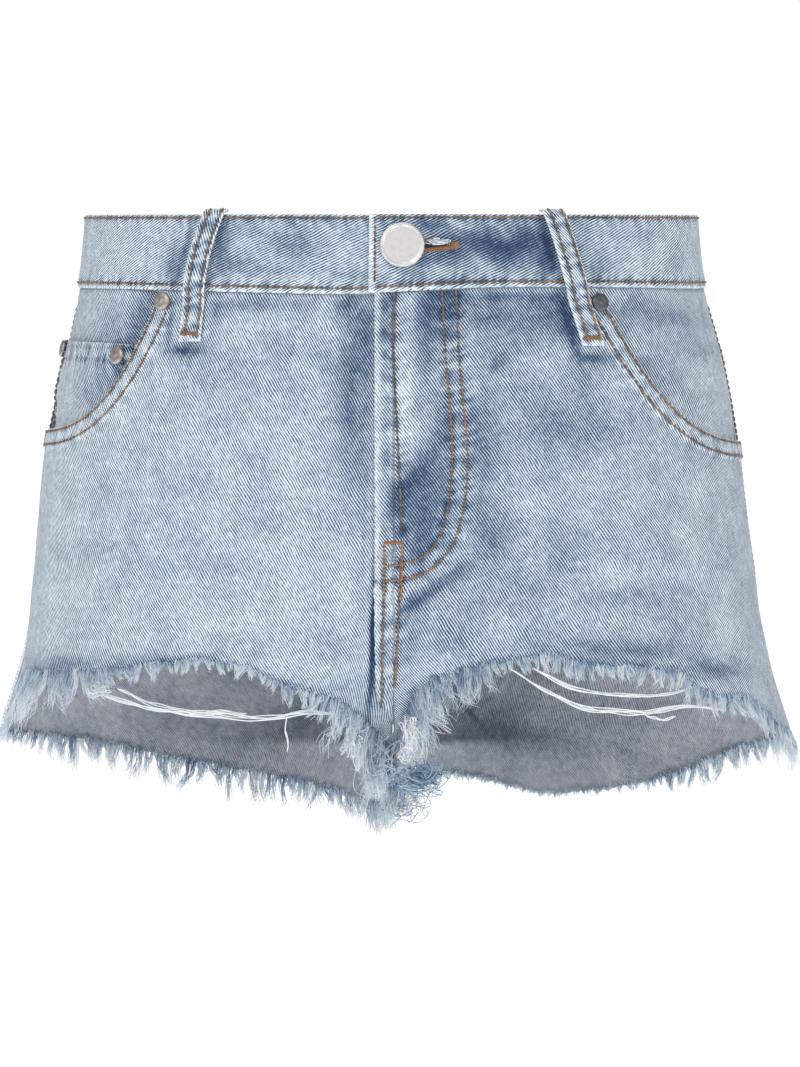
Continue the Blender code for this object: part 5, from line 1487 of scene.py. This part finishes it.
def whipped_buttonhole():
    """Stitches across the cut edge of a keyhole, close together: each starts inside the opening,
    rises over the edge and goes 1.7 mm out into the cloth."""
    sweep = np.radians(np.linspace(20, 340, 30))
    run = np.arange(0.0036, BUTTONHOLE_LENGTH, WHIP_PITCH)
    tip = np.radians(np.linspace(80, -80, 7))
    half = BUTTONHOLE_HALF_SLOT * np.clip(2 - 2 * run / BUTTONHOLE_LENGTH, 0, 1)
    round_eye = np.stack([np.cos(sweep), np.sin(sweep)], axis=-1)
    round_tip = np.stack([np.cos(tip), -np.sin(tip)], axis=-1)
    slot = np.stack([run, half], axis=-1)
    edge = np.concatenate([BUTTONHOLE_EYE * round_eye, slot * [1, -1],
                           [BUTTONHOLE_LENGTH, 0.0] + 0.0002 * round_tip, slot[::-1]])
    straight = np.tile([0.0, 1.0], (len(run), 1))
    aim = np.concatenate([round_eye, -straight, round_tip, straight])
    place, right, up, off = standing_on(BUTTON_Z, BUTTON_ANGLE, WAISTBAND_STEP + TAB_LIFT)
    t = np.linspace(0, 1, 5)
    uneven = 1 + 0.18 * np.sin(np.arange(len(edge)) * 2.4)
    reach = (-0.00025 + 0.0019 * t)[None, :] * uneven[:, None]
    rise = (0.00034 * np.sin(math.pi * np.clip(t * 0.9 + 0.12, 0, 1)) ** 0.7 - 0.00012)[None, :]
    flat = edge[:, None] + aim[:, None] * reach[..., None]
    centres = (place + flat[..., :1] * right + flat[..., 1:] * up + rise[..., None] * off)
    radii = np.full(centres.shape[:2], WHIP_THREAD_RADIUS)
    tones = ORANGE - 0.20 * (1 + np.sin(np.arange(len(edge)) * 1.9))[:, None] + 0 * radii
    tones[-len(run):] -= 0.35
    return centres, np.broadcast_to(off, centres.shape), radii, tones


sewing_buttonhole = sew("sewing_buttonhole", [whipped_buttonhole()])

# ------------------------------------------------------------------ frayed hems
# Below each raw edge the weft has washed out and left the warp: soft threads, blue at the root and
# white at the tip, that cling together in uneven locks, longest at the slits and at the crotch.
FRAY_COLUMNS = ("angle", "length", "lean")
FRAYS = {
    "front_right": (
        (0, 0.018, 0.0), (4, 0.021, 0.0), (8, 0.020, 0.10), (12, 0.017, 0.05), (18, 0.009, 0.10),
        (24, 0.0055, 0.0), (34, 0.0045, 0.05), (45, 0.006, -0.10), (56, 0.011, -0.30),
        (66, 0.016, 0.10), (78, 0.020, 0.40), (90, 0.021, 0.25),
    ),
    "front_left": (
        (0, 0.017, 0.0), (4, 0.020, 0.0), (9, 0.018, 0.10), (14, 0.014, 0.30), (20, 0.009, 0.30),
        (30, 0.007, 0.25), (40, 0.0055, 0.05), (50, 0.008, 0.10), (62, 0.009, 0.25),
        (74, 0.013, 0.45), (90, 0.015, 0.45),
    ),
    "back_right": (
        (90, 0.004, 0.0), (100, 0.005, 0.0), (108, 0.009, 0.0), (120, 0.012, -0.10), (132, 0.013, 0.0),
        (150, 0.013, -0.05), (166, 0.011, -0.10), (180, 0.012, 0.0),
    ),
    "back_left": (
        (90, 0.004, 0.0), (100, 0.005, 0.0), (108, 0.009, 0.10), (122, 0.009, 0.0), (132, 0.003, 0.0),
        (146, 0.0016, 0.0), (158, 0.0016, 0.0), (168, 0.004, 0.0), (180, 0.012, 0.0),
    ),
}
LOCK_PITCH = 0.0038
FRAY_SHADES = ((238, 242, 245), (196, 212, 226), (142, 168, 196), (84, 112, 150))


def hem_line(name, side):
    """(points, outward directions, directions along, directions off the cloth, angles) of a hem."""
    grid = front_grid if name.startswith("front") else back_grid
    z, angle = (values[-1] for values in grid(side))
    lift = slit_flare(side, z, angle) if name.startswith("back") else 0 * z
    points = body(z, angle, lift - DENIM / 2)
    along = unit(np.gradient(points, axis=0) * np.sign(points[-1, 0] - points[0, 0]) * side)
    normals = outward(z, angle)
    off = unit(np.cross(normals, along))
    off *= np.where(off[:, 2:] > 0, -1.0, 1.0)
    return points, normals, along, off, np.abs(angle)


def frayed_threads(line, table, seed, per_mm, rings, share=(0.62, 1.30), pinch=(0.4, 0.95),
                   curl=1.0):
    """Threads along a hem, rooted up to 1.8 mm above it on either face. Each falls off the cloth
    and down by its share t, leans with its lock by t squared, draws in to the lock's middle, and
    waves by a sine that grows with t."""
    points, normals, along, off, angles = line
    draw = np.random.default_rng(seed)
    length = lengths_along(points)
    count = int(length[-1] * 1000 * per_mm)
    at = np.sort(draw.uniform(0, length[-1], count))
    locks = np.cumsum(draw.uniform(0.4, 1.7, int(length[-1] / LOCK_PITCH) + 4)) * LOCK_PITCH - 0.003
    mine = np.abs(at[:, None] - locks[None, :]).argmin(1)

    def each(values):
        return np.stack([np.interp(at, length, column) for column in values.T], axis=-1)

    def of_lock(values):
        return values[mine]

    root, normal, level, fall = each(points), each(normals), each(along), each(off)
    reach = np.interp(at, length, read_table(table, FRAY_COLUMNS, "length", angles))
    lean = np.interp(at, length, read_table(table, FRAY_COLUMNS, "lean", angles))
    reach = reach * of_lock(draw.uniform(*share, len(locks))) * draw.uniform(0.65, 1.15, count)
    sway = lean + of_lock(draw.normal(0, 0.24, len(locks))) + draw.normal(0, 0.10, count)
    stand = of_lock(draw.normal(0.08, 0.14, len(locks))) + draw.normal(0, 0.06, count)
    towards = (locks[mine] - at) * of_lock(draw.uniform(*pinch, len(locks)))
    phase = of_lock(draw.uniform(0, 6.28, len(locks))) + draw.normal(0, 0.5, count)
    waves = of_lock(draw.uniform(3.0, 8.5, len(locks)))
    wide = draw.uniform(0.04, 0.18, count) * curl
    raised = draw.uniform(0, 0.0018, count)
    face = np.where(draw.uniform(0, 1, count) < 0.6, 1.0, -1.0)
    face[draw.uniform(0, 1, count) < 0.25] = 0.0
    t = np.linspace(0, 1, rings)[None, :]
    down = unit(fall * 0.55 + [0.0, 0.0, -0.75] + normal * stand[:, None])
    aside = reach[:, None] * (sway[:, None] * t**1.6
                              + wide[:, None] * np.sin(phase[:, None] + waves[:, None] * t) * t)
    aside = aside + towards[:, None] * np.clip(t * 1.25, 0, 1) ** 1.1
    puff = reach[:, None] * wide[:, None] * np.cos(phase[:, None] * 1.7 + waves[:, None] * t) * t
    over = face[:, None] * (DENIM / 2 + 0.0003) * (1 - 0.5 * t)
    start = root - fall * (raised * np.abs(face))[:, None]
    centres = (start[:, None] + down[:, None] * ((reach + raised)[:, None] * t)[..., None]
               + level[:, None] * aside[..., None] + normal[:, None] * (puff + over)[..., None])
    radii = draw.uniform(0.00014, 0.00024, count)[:, None] * (1.0 - 0.55 * t**2)
    blue = of_lock(draw.normal(0.42, 0.17, len(locks))) + draw.normal(0, 0.15, count)
    tone = np.clip(np.clip(blue, 0, 1)[:, None] * (1.35 - 1.15 * t) + 0.04, 0, 1)
    return centres, np.broadcast_to(normal[:, None], centres.shape), radii, tone


def cotton_fibre():
    """Undyed and part-dyed cotton, matt and a little downy: white to denim blue by tone."""
    material, tree, shader = new_material("cotton_fibre")
    plies = add_node(tree, "Group", {"Thread": place_in_cloth(tree)}, node_tree=ply_twist).outputs
    dyed = reckon(tree, "MULTIPLY_ADD", plies["Worn"], 0.35, point_tone(tree, "tone"))
    fill_inputs(tree, shader, {
        "Base Color": shade_ramp(tree, dyed, FRAY_SHADES, (0.0, 0.38, 0.68, 1.0)),
        "Roughness": 0.9, "Specular IOR Level": 0.2, "Sheen Weight": 0.3})
    return material


cotton_fibres = cotton_fibre()


def fray(name, node, parts):
    """Threads of cotton as a mesh of three-sided tubes."""
    hair = thread_mesh(name, parts, 3, cotton_fibres)
    if node:
        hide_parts(node)
    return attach(hair, "root")


hems = {name: hem_line(name, 1 if name.endswith("left") else -1) for name in HEMS}
fringes = [fray("fringe_" + name, "frayed_hem_" + name,
                [frayed_threads(hems[name], FRAYS[name], 11 + i, 5.2 if i < 2 else 4.4, 7),
                 frayed_threads(hems[name], FRAYS[name], 21 + i, 3.0, 5, (0.20, 0.42), (0.0, 0.3),
                                2.2)])
           for i, name in enumerate(HEMS)]

# ------------------------------------------------------------------ loose weft
# Long white weft threads that the fray has let go: they hang across both arches in slack bundles,
# from a loop at one end to the tangle beside the crotch at the other.
WEFT_RADIUS = 0.00032
# Each bundle: its hem, its strands, how far they stray, and the line they hang on as (x, z).
WEFT = (
    ("front_right", 7, 0.0008, (
        (-0.1398, -0.2205), (-0.1246, -0.2251), (-0.1094, -0.2283), (-0.0786, -0.2310),
        (-0.0560, -0.2319), (-0.0413, -0.2296), (-0.0270, -0.2305))),
    ("front_right", 3, 0.0008, (
        (-0.1283, -0.2191), (-0.1209, -0.2218), (-0.1117, -0.2264), (-0.0950, -0.2290),
        (-0.0680, -0.2300))),
    ("front_right", 2, 0.0005, (
        (-0.1400, -0.2150), (-0.1440, -0.2190), (-0.1420, -0.2225), (-0.1360, -0.2222))),
    ("front_right", 3, 0.0008, (
        (-0.0491, -0.2312), (-0.0500, -0.2380), (-0.0486, -0.2440), (-0.0491, -0.2478))),
    ("front_left", 5, 0.0006, (
        (0.0640, -0.2090), (0.0821, -0.2181), (0.0959, -0.2209), (0.1148, -0.2218),
        (0.1291, -0.2214), (0.1400, -0.2180))),
    ("front_left", 6, 0.0007, (
        (0.0540, -0.2095), (0.0724, -0.2204), (0.0895, -0.2278), (0.1056, -0.2296),
        (0.1194, -0.2296), (0.1337, -0.2269), (0.1530, -0.2290))),
    ("front_left", 2, 0.0004, ((0.1166, -0.2310), (0.1235, -0.2333), (0.1309, -0.2319))),
)


def before_hem(name, x, forward=0.0):
    """How far forward or back a hem is at a distance from the middle, and a step on from it."""
    hem = hems[name][0]
    order = np.argsort(hem[:, 0])
    return np.interp(x, hem[order, 0], hem[order, 1]) - forward


def weft_strands(name, count, apart, places, seed):
    """Strands along one slack line in the plane of the hem: each sags and wanders from it by two
    sines of its own, and is pinned to it at both ends."""
    draw = np.random.default_rng(seed)
    places = np.array(places)
    stations = lengths_along(places)
    rings = max(14, int(stations[-1] / 0.0016))
    at = np.linspace(0, stations[-1], rings)
    x, z = smooth(at, stations, places[:, 0]), smooth(at, stations, places[:, 1])
    y = before_hem(name, x)
    t = np.linspace(0, 1, rings)[None, :]
    free = np.sin(math.pi * t) ** 0.5
    starts, turns = draw.uniform(0, 6.28, (2, count, 1)), draw.uniform(5, 16, (2, count, 1))
    wander = apart * free * (np.sin(starts[0] + turns[0] * t)
                             + 0.5 * np.sin(starts[1] + 2.3 * turns[1] * t))
    spread_z = np.linspace(-1, 1, count)[:, None] * apart * free * 0.9
    centres = np.stack(np.broadcast_arrays(x[None, :], y[None, :] + 0.6 * wander[::-1],
                                           z[None, :] + wander + spread_z), axis=-1)
    radii = np.full((count, rings), WEFT_RADIUS)
    ups = np.broadcast_to([0.0, -1.0, 0.0], centres.shape)
    return centres, ups, radii, np.full(radii.shape, 0.02)


loose_weft = fray("loose_weft", None, [weft_strands(*bundle, 31 + i)
                                       for i, bundle in enumerate(WEFT)])

# ------------------------------------------------------------------ tangled ends
# Where the two legs meet, the ends of warp and weft have felted into curls and small balls.
TANGLE_RADIUS = 0.00024
# Each: x, how far before the hem, z, width, height, strands, turns and tone.
TANGLES = (
    (0.0004, 0.000, -0.2590, 0.0048, 0.0150, 70, 1.1, 0.48),
    (0.0086, 0.005, -0.2385, 0.0042, 0.0075, 46, 0.7, 0.02),
    (0.0058, 0.004, -0.2510, 0.0030, 0.0050, 26, 0.9, 0.04),
    (0.0120, -0.014, -0.2610, 0.0100, 0.0062, 130, 0.5, 0.70),
    (-0.0195, 0.003, -0.2445, 0.0055, 0.0090, 10, 0.7, 0.12),
    (-0.0085, 0.002, -0.2540, 0.0080, 0.0130, 40, 0.8, 0.34),
    (-0.1365, 0.003, -0.2200, 0.0050, 0.0028, 10, 0.9, 0.10),
)
LOWEST_TUFT = (0.0055, -0.016, -0.2790, 0.0095, 0.0085, 46, 0.75, 0.40)


def tangle(x, y, z, width, height, strands, turns, tone, seed):
    """Strands that each wander round a place: their three directions are sums of two sines whose
    speeds and starts are drawn, wider across than in depth."""
    draw = np.random.default_rng(seed)
    t = np.linspace(0, 1, 22)[None, :]
    speed = draw.uniform(0.5, 1.3, (3, 2, strands, 1)) * turns * 2 * math.pi
    start = draw.uniform(0, 6.28, (3, 2, strands, 1))
    size = draw.uniform(0.15, 0.90, (3, 2, strands, 1)) * [[[[1.0]], [[0.30]]]]
    way = (size * np.sin(start + speed * np.array([[[[1.0]], [[2.3]]]]) * t)).sum(1)
    middle = draw.normal(0, 0.34, (3, strands, 1))
    reach = np.array([width, width * 0.45, height])[:, None, None]
    centres = np.moveaxis((way + middle) * reach, 0, -1) + [x, y, z]
    radii = np.full(centres.shape[:2], TANGLE_RADIUS)
    tones = np.clip(tone + draw.normal(0, 0.14, (strands, 1)) + 0 * t, 0, 1)
    return centres, np.broadcast_to([0.0, -1.0, 0.0], centres.shape), radii, tones


tangles = [tangle(x, before_hem(sided("front", x), x, forward), *rest, 51 + i)
           for i, (x, forward, *rest) in enumerate(TANGLES)]
x, forward, *rest = LOWEST_TUFT
tangles.append(tangle(x, before_hem("back_left", x, forward), *rest, 71))
place, right, up, off = standing_on(BUTTON_Z, BUTTON_ANGLE, WAISTBAND_STEP + TAB_LIFT + 0.0004)
tangles.append(tangle(*(place + right * 0.0165 + up * 0.0019), 0.0042, 0.0011, 44, 0.5, 0.06, 72))
tangled_ends = fray("tangled_ends", None, tangles)

# ------------------------------------------------------------------ where it is shown
# A pale floor under it, a white surround, soft light from large panels, and the camera level with
# the middle of the shorts.
FLOOR_Z = -0.44
floor_reach = np.linspace(-6.0, 6.0, 9)
paper = np.stack(np.broadcast_arrays(floor_reach[None, :], floor_reach[:, None], FLOOR_Z), axis=-1)
paper_index = np.arange(81).reshape(9, 9)
paper_faces = np.stack([paper_index[:-1, :-1], paper_index[:-1, 1:], paper_index[1:, 1:],
                        paper_index[1:, :-1]], axis=-1).reshape(-1, 4)
paper_white, paper_tree, paper_shader = new_material("paper_white")
fill_inputs(paper_tree, paper_shader, {
    "Base Color": (0.96, 0.96, 0.96, 1), "Roughness": 1.0, "Specular IOR Level": 0.0,
    "Emission Color": (1, 1, 1, 1), "Emission Strength": 0.60})
floor = new_object("floor", paper.reshape(-1, 3), paper_faces.tolist(),
                   paper.reshape(-1, 3)[:, :2], {}, [paper_white])
world = bpy.data.worlds.new("studio")
bpy.context.scene.world = world
world.use_nodes = True
surround = world.node_tree
lit = surround.nodes["Background"]
lit.inputs["Color"].default_value = (1.0, 1.0, 1.0, 1.0)
lit.inputs["Strength"].default_value = 0.47
seen = add_node(surround, "Background", {"Color": (1.0, 1.0, 1.0, 1.0), "Strength": 1.05})
ray = add_node(surround, "LightPath").outputs["Is Camera Ray"]
both = add_node(surround, "MixShader", {0: ray, 1: lit.outputs[0], 2: seen.outputs[0]})
surround.links.new(both.outputs[0], surround.nodes["World Output"].inputs["Surface"])
LIGHTS = (
    ("soft_key", (-1.0, -2.0, 1.5), 1.6, 26),
    ("soft_fill", (1.5, -2.2, 0.4), 1.8, 12),
    ("soft_back", (0.3, 1.1, 1.7), 1.4, 18),
)
for light_name, place, size, watts in LIGHTS:
    lamp = bpy.data.lights.new(light_name, "AREA")
    lamp.size = size
    lamp.energy = watts
    softbox = bpy.data.objects.new(light_name, lamp)
    towards = np.array([0.0, 0.0, -0.14]) - place
    softbox.location = place
    softbox.rotation_mode = "QUATERNION"
    softbox.rotation_quaternion = Vector(towards).to_track_quat("-Z", "Y")
    bpy.context.scene.collection.objects.link(softbox)
camera_data = bpy.data.cameras.new("camera")
camera_data.lens = 168.75
camera_data.sensor_width = 36
camera_data.clip_end = 50
camera = bpy.data.objects.new("camera", camera_data)
camera.location = (0.0029, -2.4, -0.147)
camera.rotation_euler = (math.pi / 2, 0, 0)
bpy.context.scene.collection.objects.link(camera)
bpy.context.scene.camera = camera
bpy.context.scene.view_settings.view_transform = "Standard"
